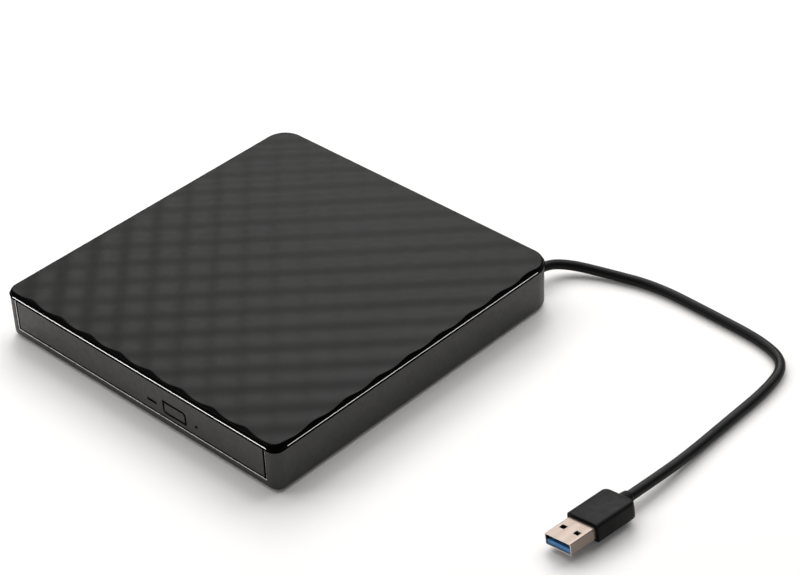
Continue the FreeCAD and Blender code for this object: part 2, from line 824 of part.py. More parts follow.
def make_traverse_frame():
    plate = mechanism_outline(0).extrude(V(0, 0, frame_sheet)).translate(V(0, 0, frame_z))
    ears = [post(u, v, frame_z, frame_z + frame_sheet, ear_radius) for u, v in grommet_spots]
    sled_window = prism([(13.8, -12.6), (62.6, -12.6), (66.8, -8.4), (66.8, 8.4), (62.6, 12.6), (13.8, 12.6)],
                        frame_z, frame_z + frame_sheet)
    rotor_hole = post(0, 0, frame_z, frame_z + frame_sheet, rotor_radius + 1.0)
    motor_window = box(sled_motor_start - 0.4, sled_motor_start + sled_motor_length + 0.4,
                       screw_v - sled_motor_radius - 0.3, screw_v + sled_motor_radius + 0.3,
                       frame_z, frame_z + frame_sheet)
    holders = []
    seats = []
    for v in (main_rod_v, side_rod_v):
        holders.append(box(rod_start - 0.6, rod_start + 2.4, v - 1.8, v + 1.8, rod_z - 1.5, frame_z))
        holders.append(box(rod_end - 1.8, rod_end + 0.4, v - 1.8, v + 1.8, rod_z - 1.5, frame_z))
        seats.append(square_bore(rod_start, rod_end, v, rod_z, rod_radius + 0.01))
    holders.append(box(screw_end - 1.9, screw_end + 0.3, screw_v - 1.7, screw_v + 1.7, rod_z - 1.5, frame_z))
    seats.append(Part.makeCylinder(screw_radius + shaft_gap, screw_end - 10, V(10, screw_v, rod_z), V(1, 0, 0)))
    post_holes = [post(u, v, frame_z, frame_z + frame_sheet, tray_post_radius + post_gap)
                  for u, v in grommet_spots]
    frame = joined([plate] + ears).cut(group([sled_window, rotor_hole, motor_window] + post_holes))
    return on_sled_path(joined([frame] + holders).cut(group(seats)))


def make_mechanism_cover():
    z1 = cover_plate_z + cover_sheet
    plate = mechanism_outline(0).extrude(V(0, 0, cover_sheet)).translate(V(0, 0, cover_plate_z))
    spindle_hole = post(0, 0, cover_plate_z, z1, turntable_radius + 0.8)
    slot = prism([(8, -9), (62, -9), (65.5, -5.5), (65.5, 5.5), (62, 9), (8, 9)], cover_plate_z, z1)
    tabs = []
    for u, v, turn in cover_tabs:
        tab = box(-cover_sheet / 2, cover_sheet / 2, -2.5, 2.5, frame_z + frame_sheet, z1)
        tabs.append(tab.rotate(V(0, 0, 0), V(0, 0, 1), turn).translate(V(u, v, 0)))
    return on_sled_path(joined([plate] + tabs).cut(group([spindle_hole, slot])))


def make_isolation_grommets():
    return group([on_sled_path(ring(u, v, frame_z + frame_sheet, tray_under_z, grommet_radius,
                                    tray_post_radius + post_gap)) for u, v in grommet_spots])


def make_guide_rods():
    return group([on_sled_path(Part.makeCylinder(rod_radius, rod_end - rod_start - 0.1,
                                                 V(rod_start + 0.05, v, rod_z), V(1, 0, 0)))
                  for v in (main_rod_v, side_rod_v)])


def make_sled_motor():
    body = Part.makeCylinder(sled_motor_radius, sled_motor_length, V(sled_motor_start, screw_v, rod_z), V(1, 0, 0))
    bore = Part.makeCylinder(screw_radius + shaft_gap, 3, V(sled_motor_start + sled_motor_length - 3,
                                                            screw_v, rod_z), V(1, 0, 0))
    return on_sled_path(body.cut(bore))


def make_lead_screw():
    start = sled_motor_start + sled_motor_length - 2.8
    return on_sled_path(Part.makeCylinder(screw_radius, screw_end - start, V(start, screw_v, rod_z), V(1, 0, 0)))


def make_laser_sled():
    u0 = lens_home - sled_half_length
    u1 = lens_home + sled_half_length
    w = sled_half_width
    body = prism([(u0, -w), (u1 - 4, -w), (u1, -w + 4.5), (u1, w - 4.5), (u1 - 4, w), (u0, w)],
                 sled_low_z, sled_top_z)
    hollow = box(u0 + 2.6, u1 - 2.6, -8, 8, actuator_floor_z, sled_top_z)
    low_z = rod_z - 1.4
    high_z = frame_z - 0.2
    main_arm = box(lens_home - 5.5, lens_home + 5.5, w - 1, main_rod_v + 1.9, low_z, high_z)
    side_arm = box(lens_home - 3, lens_home + 3, side_rod_v - 1.6, -w + 1, low_z, high_z)
    nut_arm = box(lens_home - 7, lens_home - 3, main_rod_v + 1, screw_v + 1.9, low_z, high_z)
    main_bore = Part.makeCylinder(rod_radius + shaft_gap, 20, V(lens_home - 10, main_rod_v, rod_z), V(1, 0, 0))
    side_fork = box(lens_home - 4, lens_home + 4, side_rod_v - 3, side_rod_v + 1.1,
                    rod_z - rod_radius - shaft_gap, rod_z + rod_radius + shaft_gap)
    nut_bore = Part.makeCylinder(screw_radius + shaft_gap, 20, V(lens_home - 12, screw_v, rod_z), V(1, 0, 0))
    sled = joined([body, main_arm, side_arm, nut_arm])
    return on_sled_path(sled.cut(group([hollow, main_bore, side_fork, nut_bore])))


actuator_floor_z = 8.6
holder_half_length = 3.5
holder_half_width = 4.5
holder_low_z = 9.2
holder_top_z = 11.4
lens_radius = 2.0
lens_height = 0.45


def make_sled_magnets():
    magnets = []
    for side in (1, -1):
        u = lens_home + side * (holder_half_length + 0.9)
        magnets.append(box(u - 0.45, u + 0.45, -3.5, 3.5, actuator_floor_z, sled_top_z - 0.2))
    return on_sled_path(group(magnets))


def make_lens_holder():
    holder = box(lens_home - holder_half_length, lens_home + holder_half_length,
                 -holder_half_width, holder_half_width, holder_low_z, holder_top_z)
    bore = post(lens_home, 0, holder_low_z, holder_top_z, lens_radius)
    return on_sled_path(holder.cut(bore))


def make_objective_lens():
    lens = post(lens_home, 0, holder_top_z - 0.8, holder_top_z + lens_height, lens_radius)
    return on_sled_path(lens.makeChamfer(lens_height, level_edges(lens, holder_top_z + lens_height)))


sleeve_radius = 2.6
core_low_z = 8.2
core_high_z = 9.6
tooth_inner = 4.2
tooth_outer = 9.0
tip_outer = 10.2


def make_spindle_base():
    outline = []
    for angle in base_spots:
        for side in (-1, 1):
            turn = math.radians(angle + side * 7.5)
            outline.append((base_spot_radius * 1.1 * math.cos(turn), base_spot_radius * 1.1 * math.sin(turn)))
    for angle in (330, 30, 90):
        turn = math.radians(angle)
        outline.append(((rotor_radius - 1) * math.cos(turn), (rotor_radius - 1) * math.sin(turn)))
    plate = prism(outline, base_z, base_z + base_sheet)
    posts = [square_post(base_spot_radius, 0, 1.4, base_z, frame_z).rotate(V(0, 0, 0), V(0, 0, 1), angle)
             for angle in base_spots]
    sleeve = post(0, 0, base_z, 10.8, sleeve_radius)
    bore = post(0, 0, base_z + 0.4, 10.8, spindle_shaft_radius + shaft_gap)
    return on_sled_path(joined([plate, sleeve] + posts).cut(bore))


def make_stator_core():
    step = math.radians(360.0 / stator_teeth)
    profile = [(tooth_inner, -1.4), (tooth_inner + 0.4, -0.7), (tooth_outer, -0.7), (tooth_outer, -2.4),
               (tip_outer, -2.1), (tip_outer, 2.1), (tooth_outer, 2.4), (tooth_outer, 0.7),
               (tooth_inner + 0.4, 0.7), (tooth_inner, 1.4)]
    outline = []
    for number in range(stator_teeth):
        c = math.cos(step * number)
        s = math.sin(step * number)
        outline += [(u * c - v * s, u * s + v * c) for u, v in profile]
    core = prism(outline, core_low_z, core_high_z)
    return on_sled_path(core.cut(post(0, 0, core_low_z, core_high_z, sleeve_radius)))


def make_stator_coils():
    coils = []
    for number in range(stator_teeth):
        coil = box(tooth_inner + 1.6, tooth_outer - 0.3, -1.5, 1.5, core_low_z - 0.5, core_high_z + 0.5)
        core = box(tooth_inner, tooth_outer + 0.4, -0.7, 0.7, core_low_z, core_high_z)
        coils.append(coil.cut(core).rotate(V(0, 0, 0), V(0, 0, 1), 360.0 * number / stator_teeth))
    return on_sled_path(group(coils))


def make_spindle_rotor():
    wall = ring(0, 0, rotor_low_z, turntable_z, rotor_radius, rotor_radius - rotor_wall)
    top = post(0, 0, turntable_z - 0.8, turntable_z, rotor_radius)
    table = post(0, 0, turntable_z, turntable_z + turntable_thickness, turntable_radius)
    shaft = post(0, 0, base_z + 0.6, turntable_z, spindle_shaft_radius)
    return on_sled_path(joined([wall, top, table, shaft]))


def make_turntable_pad():
    z0 = turntable_z + turntable_thickness
    return on_sled_path(ring(0, 0, z0, z0 + pad_thickness, turntable_radius - 0.2, turntable_radius - 3.2))


claw_low_z = 13.8
claw_height = 1.3
claw_inner = 4.9
claw_reach = 0.35


def claw_angles():
    return [90.0 + 360.0 * number / claw_count for number in range(claw_count)]


def make_clamp_hub():
    z0 = turntable_z + turntable_thickness
    hub = post(0, 0, z0, hub_top_z, hub_radius)
    hub = hub.makeChamfer(0.9, level_edges(hub, hub_top_z))
    slots = []
    for angle in claw_angles():
        slot = box(claw_inner - claw_travel - 0.15, hub_radius + 1, -claw_width / 2 - 0.1, claw_width / 2 + 0.1,
                   claw_low_z - 0.1, claw_low_z + claw_height + 0.1)
        slots.append(slot.rotate(V(0, 0, 0), V(0, 0, 1), angle))
    return on_sled_path(hub.cut(group(slots)))


def make_clamp_claw(angle):
    body = box(claw_inner, hub_radius - 0.3, -claw_width / 2, claw_width / 2,
               claw_low_z, claw_low_z + claw_height)
    nose_mid = claw_low_z + claw_height / 2
    nose = Part.makeCylinder(claw_height / 2, claw_width, V(hub_radius + claw_reach - claw_height / 2,
                                                            -claw_width / 2, nose_mid), V(0, 1, 0))
    claw = joined([body, nose])
    return on_sled_path(claw.rotate(V(0, 0, 0), V(0, 0, 1), angle))


# Latch and emergency release

latch_swing = 15.0
latch_low_z = 5.9
latch_plate = 1.4
latch_tail_z = latch_post_top + 0.2


def make_latch_lever():
    """Drawn hooked behind the post, then turned to its released place."""
    z0 = latch_low_z
    z1 = z0 + latch_plate
    nose_y = latch_post_y + latch_post_radius + 0.3
    arm_x1 = latch_post_x - latch_post_radius - 0.6
    hub = post(latch_pivot_x, latch_pivot_y, z0, latch_tail_z + latch_plate, 2.0)
    arm = box(arm_x1 - 1.8, arm_x1, latch_post_y, latch_pivot_y, z0, z1)
    nose = prism([(arm_x1, nose_y), (latch_post_x + 0.6, nose_y), (latch_post_x - 0.4, nose_y + 1.6),
                  (arm_x1, nose_y + 1.6)], z0, z1)
    tail = box(latch_pivot_x, latch_pivot_x + 5.0, latch_pivot_y - 0.9, latch_pivot_y + 0.9,
               latch_tail_z, latch_tail_z + latch_plate)
    bore = post(latch_pivot_x, latch_pivot_y, z0, latch_tail_z + latch_plate, latch_pin_radius + 0.05)
    lever = joined([hub, arm, nose, tail]).cut(bore)
    return lever.rotate(V(latch_pivot_x, latch_pivot_y, 0), V(0, 0, 1), -latch_swing)


solenoid_gap = 6.5
solenoid_width = 8.5
solenoid_length = 11.0
solenoid_pin_inset = 2.5
solenoid_pin_length = 2.0
solenoid_pin_radius = 1.1
solenoid_clearance = 0.36


def make_latch_solenoid():
    x0 = latch_pivot_x + solenoid_gap
    clear_radius = disc_recess_radius + tray_skirt + solenoid_clearance
    y1 = disc_centre_y - math.sqrt(clear_radius ** 2 - x0 ** 2)
    case = box(x0, x0 + solenoid_width, y1 - solenoid_length, y1, latch_low_z + 0.2, tray_top_z - tray_skirt)
    pin = rod_y(x0 + solenoid_pin_inset, latch_tail_z + latch_plate / 2, y1, y1 + solenoid_pin_length,
                solenoid_pin_radius)
    return case.fuse(pin)


def make_emergency_slider():
    y0 = bezel_rear_y + 0.6
    bar = box(pinhole_x - slider_half_width, pinhole_x + slider_half_width, y0, y0 + 11.6,
              slot_mid_z - 0.9, slot_mid_z + 1.0)
    return bar


# Cord and plug

# The cord's route is chosen by eye: out of the rear wall, down to the surface,
# round to the side and back towards the front, up to the plug's collar.
def cord_points():
    z = cord_diameter / 2 + 0.05
    places = [
        (exit_x, rear_y + grommet_flange, exit_z),
        (exit_x, 83.2, exit_z),
        (64.8, 92.6, 3.9),
        (79.0, 99.0, 2.35),
        (98.0, 104.6, 2.1),
        (124.0, 103.9, z),
        (150.2, 102.6, z),
        (163.4, 96.6, z),
        (166.9, 81.4, z),
        (167.3, 57.0, z),
        (168.2, 31.5, 2.7),
    ]
    start = plug_place(collar_length)
    before = plug_place(collar_length + 13.0)
    return [V(*place) for place in places] + [before, start]


def round_path(points):
    """Straight runs joined by tangent arcs, each as large as its two runs allow."""
    edges = []
    radii = []
    here = points[0]
    for before, corner, after in zip(points, points[1:], points[2:]):
        back = before - corner
        ahead = after - corner
        run = min(back.Length, ahead.Length)
        back.normalize()
        ahead.normalize()
        turn = math.pi - back.getAngle(ahead)
        cut_back = 0.45 * run
        radii.append(cut_back / math.tan(turn / 2))
        start = corner + back * cut_back
        end = corner + ahead * cut_back
        inward = back + ahead
        inward.normalize()
        middle = corner + inward * (radii[-1] * (1 / math.cos(turn / 2) - 1))
        edges.append(Part.LineSegment(here, start).toShape())
        edges.append(Part.Arc(start, middle, end).toShape())
        here = end
    edges.append(Part.LineSegment(here, points[-1]).toShape())
    return Part.Wire(edges), radii


def round_tube(points, radius):
    path, radii = round_path(points)
    direction = points[1] - points[0]
    circle = Part.Wire(Part.makeCircle(radius, points[0], direction))
    tube = path.makePipeShell([circle], True, False)
    print("tube radii", [round(r, 1) for r in radii])
    print("tube length %.2f, volume share %.5f"
          % (path.Length, tube.Volume / (math.pi * radius ** 2 * path.Length)))
    return tube


def make_usb_cord():
    return round_tube(cord_points(), cord_diameter / 2)


def make_cord_grommet():
    inner = rod_y(exit_x, exit_z, wall_inner_y - grommet_flange, wall_inner_y, grommet_flange_radius)
    neck = rod_y(exit_x, exit_z, wall_inner_y, rear_y, grommet_neck_radius)
    outer = rod_y(exit_x, exit_z, rear_y, rear_y + grommet_flange, grommet_flange_radius)
    rim = [e for e in outer.Edges if all(abs(v.Y - rear_y - grommet_flange) < 1e-6 for v in e.Vertexes)]
    return joined([inner, neck, outer.makeChamfer(0.4, rim)])


def plug_place(behind):
    """A point on the plug's axis, measured behind the grip's back face."""
    return on_plug(Part.Vertex(V(0, behind, 0))).Point


def on_plug(shape):
    """Places a shape drawn about the Y axis, with the grip's back face at Y 0 and the mouth towards -Y.

    The plug lies on one long edge, with its tip a little higher than its back.
    """
    placed = shape.copy()
    placed.rotate(V(0, 0, 0), V(0, 1, 0), -plug_roll)
    placed.rotate(V(0, 0, 0), V(1, 0, 0), -plug_tip_lift)
    placed.rotate(V(0, 0, 0), V(0, 0, 1), plug_turn)
    placed.translate(V(plug_back_x, plug_back_y, plug_axis_z))
    return placed


mouth_y = -grip_length - shell_length
shell_low_z = -shell_height / 2
tongue_low_z = shell_low_z + shell_sheet + 0.02
latch_hole_y = 6.3
latch_hole_x = 3.2
latch_hole_half_width = 1.15
latch_hole_half_length = 1.0


def make_plug_grip():
    grip = box(-grip_width / 2, grip_width / 2, -grip_length, 0, -grip_height / 2, grip_height / 2)
    long_edges = [e for e in grip.Edges if abs(e.Vertexes[0].Y - e.Vertexes[1].Y) > 1]
    grip = grip.makeFillet(grip_side_radius, long_edges)
    ends = [e for e in grip.Edges if all(abs(v.Y) < 1e-6 for v in e.Vertexes)]
    grip = grip.makeChamfer(grip_back_bevel, ends)
    collar = Part.makeCone(collar_radius, collar_end_radius, collar_length, V(0, 0, 0), V(0, 1, 0))
    pocket = box(-shell_width / 2, shell_width / 2, -grip_length, -grip_length + shell_buried,
                 shell_low_z, shell_low_z + shell_height)
    return on_plug(grip.fuse(collar).cut(pocket))


def make_plug_shell():
    outer = box(-shell_width / 2, shell_width / 2, mouth_y, -grip_length + shell_buried,
                shell_low_z, shell_low_z + shell_height)
    long_edges = [e for e in outer.Edges if abs(e.Vertexes[0].Y - e.Vertexes[1].Y) > 1]
    outer = outer.makeFillet(0.45, long_edges)
    inner = box(-shell_width / 2 + shell_sheet, shell_width / 2 - shell_sheet, mouth_y,
                -grip_length + shell_buried, shell_low_z + shell_sheet, shell_low_z + shell_height - shell_sheet)
    holes = []
    for side in (1, -1):
        x = side * latch_hole_x
        holes.append(box(x - latch_hole_half_width, x + latch_hole_half_width,
                         mouth_y + latch_hole_y - latch_hole_half_length,
                         mouth_y + latch_hole_y + latch_hole_half_length, -grip_height / 2, grip_height / 2))
    return on_plug(outer.cut(group([inner] + holes)))


def make_plug_tongue():
    tongue = box(-shell_width / 2 + shell_sheet + 0.1, shell_width / 2 - shell_sheet - 0.1, mouth_y + 0.4,
                 -grip_length + shell_buried, tongue_low_z, tongue_low_z + tongue_thickness)
    return on_plug(tongue)


def make_plug_contacts():
    top = tongue_low_z + tongue_thickness
    strips = []
    for x, length in ((-3.5, 8.0), (-1.0, 7.2), (1.0, 7.2), (3.5, 8.0)):
        strips.append(box(x - 0.5, x + 0.5, mouth_y + 1.4, mouth_y + 1.4 + length, top, top + 0.15))
    for number in range(5):
        x = (number - 2) * 2.0
        strips.append(box(x - 0.35, x + 0.35, mouth_y + 10.2, mouth_y + 12.0, top, top + 0.35))
    return on_plug(group(strips))


pieces = {
    "top_cover": make_top_cover,
    "lower_case": make_lower_case,
    "rubber_feet": make_rubber_feet,
    "drive_base_pan": make_drive_base_pan,
    "drive_lid": make_drive_lid,
    "right_fixed_rail": make_fixed_rail,
    "left_fixed_rail": lambda: mirrored(make_fixed_rail()),
    "right_sliding_rail": make_sliding_rail,
    "left_sliding_rail": lambda: mirrored(make_sliding_rail()),
    "main_board": make_main_board,
    "main_board_chips": make_main_board_chips,
    "drive_connector": make_drive_connector,
    "bridge_board": make_bridge_board,
    "bridge_board_parts": make_bridge_board_parts,
    "flat_cable": make_flat_cable,
    "ejector_guide": make_ejector_guide,
    "ejector_plunger": make_ejector_plunger,
    "ejector_spring": make_ejector_spring,
    "disc_tray": make_disc_tray,
    "tray_bezel": make_tray_bezel,
    "eject_button": make_eject_button,
    "eject_switch": make_eject_switch,
    "switch_plunger": make_switch_plunger,
    "front_board": make_front_board,
    "indicator_lamp": make_indicator_lamp,
    "indicator_lens": make_indicator_lens,
    "tray_bottom_plate": make_tray_bottom_plate,
    "tray_board": make_tray_board,
    "traverse_frame": make_traverse_frame,
    "mechanism_cover": make_mechanism_cover,
    "isolation_grommets": make_isolation_grommets,
    "guide_rods": make_guide_rods,
    "sled_motor": make_sled_motor,
    "lead_screw": make_lead_screw,
    "laser_sled": make_laser_sled,
    "sled_magnets": make_sled_magnets,
    "lens_holder": make_lens_holder,
    "objective_lens": make_objective_lens,
    "spindle_base": make_spindle_base,
    "stator_core": make_stator_core,
    "stator_coils": make_stator_coils,
    "spindle_rotor": make_spindle_rotor,
    "turntable_pad": make_turntable_pad,
    "clamp_hub": make_clamp_hub,
    "latch_lever": make_latch_lever,
    "latch_solenoid": make_latch_solenoid,
    "emergency_slider": make_emergency_slider,
    "usb_cord": make_usb_cord,
    "cord_leads": make_cord_leads,
    "cord_grommet": make_cord_grommet,
    "plug_grip": make_plug_grip,
    "plug_shell": make_plug_shell,
    "plug_tongue": make_plug_tongue,
    "plug_contacts": make_plug_contacts,
}
for number, angle in enumerate(claw_angles()):
    pieces["clamp_claw_%d" % (number + 1)] = lambda angle=angle: make_clamp_claw(angle)


def main():
    os.makedirs("parts", exist_ok=True)
    for name, make in pieces.items():
        make().exportStep("parts/%s.step" % name)


if __name__ == "__main__":
    main()
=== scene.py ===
"""Looks of an external disc drive: camera, light, finishes and detailed pieces over its solids."""
import json
import logging
import math
from dataclasses import dataclass
from enum import Enum
from typing import Callable

import bmesh
import bpy
from mathutils import Matrix, Vector

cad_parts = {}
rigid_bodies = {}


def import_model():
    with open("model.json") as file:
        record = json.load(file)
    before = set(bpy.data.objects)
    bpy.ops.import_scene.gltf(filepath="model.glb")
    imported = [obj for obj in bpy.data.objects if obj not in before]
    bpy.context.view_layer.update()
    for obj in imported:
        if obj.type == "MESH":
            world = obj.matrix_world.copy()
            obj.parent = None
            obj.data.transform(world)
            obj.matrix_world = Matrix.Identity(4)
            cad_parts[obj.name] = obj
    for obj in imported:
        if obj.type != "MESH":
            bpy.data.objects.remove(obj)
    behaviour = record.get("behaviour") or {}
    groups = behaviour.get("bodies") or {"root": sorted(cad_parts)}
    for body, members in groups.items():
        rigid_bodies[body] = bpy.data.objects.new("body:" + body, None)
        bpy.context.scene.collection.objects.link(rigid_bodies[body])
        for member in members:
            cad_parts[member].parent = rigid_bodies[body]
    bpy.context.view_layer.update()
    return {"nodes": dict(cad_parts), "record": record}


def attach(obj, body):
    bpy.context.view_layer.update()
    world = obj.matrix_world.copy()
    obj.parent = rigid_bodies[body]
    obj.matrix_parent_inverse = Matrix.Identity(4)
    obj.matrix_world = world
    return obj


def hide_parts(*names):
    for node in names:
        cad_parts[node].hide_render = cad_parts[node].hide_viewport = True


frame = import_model()
log = logging.getLogger("disc_drive")
MM = 0.001

Colour = tuple[float, float, float, float]
Place = tuple[float, float, float]
Spots = tuple[tuple[float, float], ...]
Socket = bpy.types.NodeSocket
Piece = bpy.types.Object

# Points nearer than this are welded, in millimetres.
WELD = 0.001
# A face looks along an axis where its normal's share of that axis is at least this.
FACING = 0.97
# A wave texture with this scale has one band per millimetre.
BAND_SCALE = 0.3142


def tone(red: float, green: float, blue: float) -> Colour:
    """Turn a screen colour into the linear colour that a shader takes.

    Args:
        red: Screen value from 0 to 255.
        green: Screen value from 0 to 255.
        blue: Screen value from 0 to 255.

    Returns:
        Linear red, green, blue and a full alpha.
    """
    def linear(value: float) -> float:
        """Undo the screen's curve for one channel."""
        share = value / 255
        return share / 12.92 if share <= 0.04045 else ((share + 0.055) / 1.055) ** 2.4
    return linear(red), linear(green), linear(blue), 1.0


class Run(Enum):
    """Which way a finish's grain is drawn out, as shares of its scale along X, Y and Z."""

    ROUND = (1.0, 1.0, 1.0)
    ALONG_X = (0.08, 1.0, 1.0)
    ALONG_Y = (1.0, 0.08, 1.0)


class Nodes:
    """The nodes of one material or of the sky."""

    def __init__(self, tree: bpy.types.NodeTree) -> None:
        """Start with an empty tree."""
        self.tree = tree
        self.tree.nodes.clear()

    def add(self, kind: str, inputs: dict[str | int, object] | None = None, **settings: object
            ) -> bpy.types.Node:
        """Add a node.

        Args:
            kind: The node's type name.
            inputs: What goes into its inputs, by name or number: a socket to link, or a plain value.
            settings: Its plain properties by name.

        Returns:
            The new node.
        """
        node = self.tree.nodes.new(kind)
        for name, value in settings.items():
            setattr(node, name, value)
        for name, value in (inputs or {}).items():
            if isinstance(value, Socket):
                self.tree.links.new(value, node.inputs[name])
            else:
                node.inputs[name].default_value = value
        return node


class Sketch(Nodes):
    """The nodes of one material, measured in millimetres on the object."""

    def __init__(self, name: str) -> None:
        """Start a material that has a name and no surface yet."""
        self.material = bpy.data.materials.new(name)
        self.material.use_nodes = True
        super().__init__(self.material.node_tree)
        self.place = self.add("ShaderNodeTexCoord").outputs["Object"]

    def finish(self, surface: Socket) -> None:
        """Give the material its surface."""
        self.add("ShaderNodeOutputMaterial", {"Surface": surface})

    def millimetres(self, run: Run = Run.ROUND) -> Socket:
        """Give the object's place in millimetres, squeezed along a run so that a grain is drawn out."""
        scale = [share / MM for share in run.value]
        return self.add("ShaderNodeMapping", {"Vector": self.place, "Scale": scale}).outputs["Vector"]

    def noise(self, place: Socket, scale: float, detail: float = 2.0) -> Socket:
        """Give a soft noise of a scale per millimetre."""
        inputs = {"Vector": place, "Scale": scale, "Detail": detail}
        return self.add("ShaderNodeTexNoise", inputs).outputs["Fac"]

    def between(self, value: Socket, low: float, high: float,
                start: float = 0.3, stop: float = 0.7) -> Socket:
        """Stretch a value between two limits.

        Args:
            value: The socket to stretch.
            low: Result at and below the start.
            high: Result at and above the stop.
            start: Value that gives the low result.
            stop: Value that gives the high result.

        Returns:
            The stretched value's socket.
        """
        inputs = {"Value": value, "From Min": start, "From Max": stop, "To Min": low, "To Max": high}
        return self.add("ShaderNodeMapRange", inputs).outputs["Result"]

    def sum(self, kind: str, first: Socket, second: object) -> Socket:
        """Work out a socket with a socket or a number. The kind is the sum's name, such as MULTIPLY."""
        return self.add("ShaderNodeMath", {0: first, 1: second}, operation=kind).outputs[0]

    def blend(self, share: Socket, first: object, second: object) -> Socket:
        """Blend two colours or colour sockets by a share, which is 0 for the first and 1 for the second."""
        inputs = {0: share, 6: first, 7: second}
        return self.add("ShaderNodeMix", inputs, data_type="RGBA").outputs[2]

    def bump(self, height: Socket, depth: float, under: Socket | None = None) -> Socket:
        """Raise a surface by a height from 0 to 1.

        Args:
            height: The height's socket.
            depth: Millimetres that a height of 1 stands for.
            under: The normal that the bump lies on, if it isn't the surface's own.

        Returns:
            The bumped normal's socket.
        """
        inputs = {"Height": height, "Strength": 1.0, "Distance": depth * MM}
        if under:
            inputs["Normal"] = under
        return self.add("ShaderNodeBump", inputs).outputs["Normal"]


@dataclass(frozen=True)
class Finish:
    """A moulded, rolled or cast surface with grain, blotches and softened edges.

    Sizes are millimetres, scales are per millimetre and colours are linear.
    """

    name: str
    colour: Colour
    second: Colour
    roughness: float = 0.5
    spread: float = 0.06
    grain: float = 2.5
    depth: float = 0.01
    blotch: float = 0.05
    metallic: float = 0.0
    specular: float = 0.5
    coat: float = 0.0
    edge: float = 0.12
    run: Run = Run.ROUND
    detail: float = 3.0
    haze_share: float = 0.21
    bevel_samples: int = 6

    def colours(self, sketch: Sketch, place: Socket) -> Socket:
        """Colour that wanders between the two tones."""
        share = sketch.between(sketch.noise(place, self.blotch, self.detail), 0.0, 1.0)
        return sketch.blend(share, self.colour, self.second)

    def relief(self, sketch: Sketch, place: Socket) -> Socket:
        """Height of the fine grain."""
        return sketch.noise(place, self.grain, self.detail)

    def extras(self) -> dict[str, float]:
        """Values of the surface that one kind of finish has beyond the rest."""
        return {}

    def surface(self, sketch: Sketch, base: Socket) -> Socket:
        """Lay further surfaces over the base. The plain finish has none."""
        return base

    def build(self) -> bpy.types.Material:
        """Make the material.

        Returns:
            The finished material.
        """
        sketch = Sketch(self.name)
        place = sketch.millimetres(self.run)
        haze = sketch.between(sketch.noise(place, self.grain * self.haze_share),
                              self.roughness - self.spread, self.roughness + self.spread)
        soft = sketch.add("ShaderNodeBevel", {"Radius": self.edge * MM}, samples=self.bevel_samples)
        normal = sketch.bump(self.relief(sketch, place), self.depth, soft.outputs["Normal"])
        shader = sketch.add("ShaderNodeBsdfPrincipled", {
            "Base Color": self.colours(sketch, place), "Metallic": self.metallic, "Roughness": haze,
            "Specular IOR Level": self.specular, "Coat Weight": self.coat, "Normal": normal,
            **self.extras()})
        sketch.finish(self.surface(sketch, shader.outputs["BSDF"]))
        return sketch.material


@dataclass(frozen=True)
class Layer:
    """A surface that is laid over part of a finish. Scales are per millimetre."""

    colour: Colour
    second: Colour
    colour_scale: float
    roughness: tuple[float, float]
    haze_scale: float
    metallic: float = 0.0
    specular: float = 0.5
    grain: float = 0.9
    depth: float = 0.0

    def build(self, sketch: Sketch, place: Socket) -> Socket:
        """Make the surface.

        Args:
            sketch: The nodes of the material.
            place: The object's place in millimetres.

        Returns:
            The surface's socket.
        """
        inputs = {
            "Base Color": sketch.blend(sketch.noise(place, self.colour_scale), self.colour, self.second),
            "Roughness": sketch.between(sketch.noise(place, self.haze_scale), *self.roughness),
            "Metallic": self.metallic, "Specular IOR Level": self.specular}
        if self.depth:
            inputs["Normal"] = sketch.bump(sketch.noise(place, self.grain), self.depth)
        return sketch.add("ShaderNodeBsdfPrincipled", inputs).outputs["BSDF"]


@dataclass(frozen=True)
class CoverSkin(Finish):
    """The cover's satin top, its glossy rim where the rounded edge is below the waves, and its lip painted
    near white as a highlight line.
    """

    rim: Layer = Layer(tone(5, 5, 5), tone(8, 8, 8), 0.11, (0.11, 0.17), 0.3, specular=0.01, depth=0.004)
    rim_marks: tuple[float, float] = (0.0, 0.02)
    # The lip layer is painted highlight: a near-white line that stands for light caught on the cover's lower
    # edge.
    lip: Layer = Layer(tone(238, 238, 236), tone(224, 224, 222), 0.08, (0.24, 0.36), 0.2, metallic=0.75)
    lip_highlight_marks: tuple[float, float] = (1.7, 1.95)

    def surface(self, sketch: Sketch, base: Socket) -> Socket:
        """Blend the satin skin into the glossy rim and into the lip's painted highlight by the mesh's rim
        attribute.
        """
        place = sketch.millimetres()
        mark = sketch.add("ShaderNodeAttribute", attribute_name="rim").outputs["Fac"]
        for layer, marks in ((self.rim, self.rim_marks), (self.lip, self.lip_highlight_marks)):
            share = sketch.between(mark, 0.0, 1.0, *marks)
            inputs = {0: share, 1: base, 2: layer.build(sketch, place)}
            base = sketch.add("ShaderNodeMixShader", inputs).outputs[0]
        return base


@dataclass(frozen=True)
class Board(Finish):
    """A circuit board: green mask over copper tracks that run along X and Y."""

    track: Colour = tone(58, 128, 84)
    track_gap: float = 0.12
    track_length: float = 5.3
    track_pitch: float = 0.9

    def colours(self, sketch: Sketch, place: Socket) -> Socket:
        """Mask colour with paler tracks."""
        base = super().colours(sketch, place)
        bricks = sketch.add("ShaderNodeTexBrick", {
            "Vector": place, "Scale": 1.0, "Mortar Size": self.track_gap,
            "Brick Width": self.track_length, "Row Height": self.track_pitch})
        patch = sketch.between(sketch.noise(place, 0.16), 0.0, 1.0, 0.46, 0.5)
        return sketch.blend(sketch.sum("MULTIPLY", bricks.outputs["Fac"], patch), base, self.track)


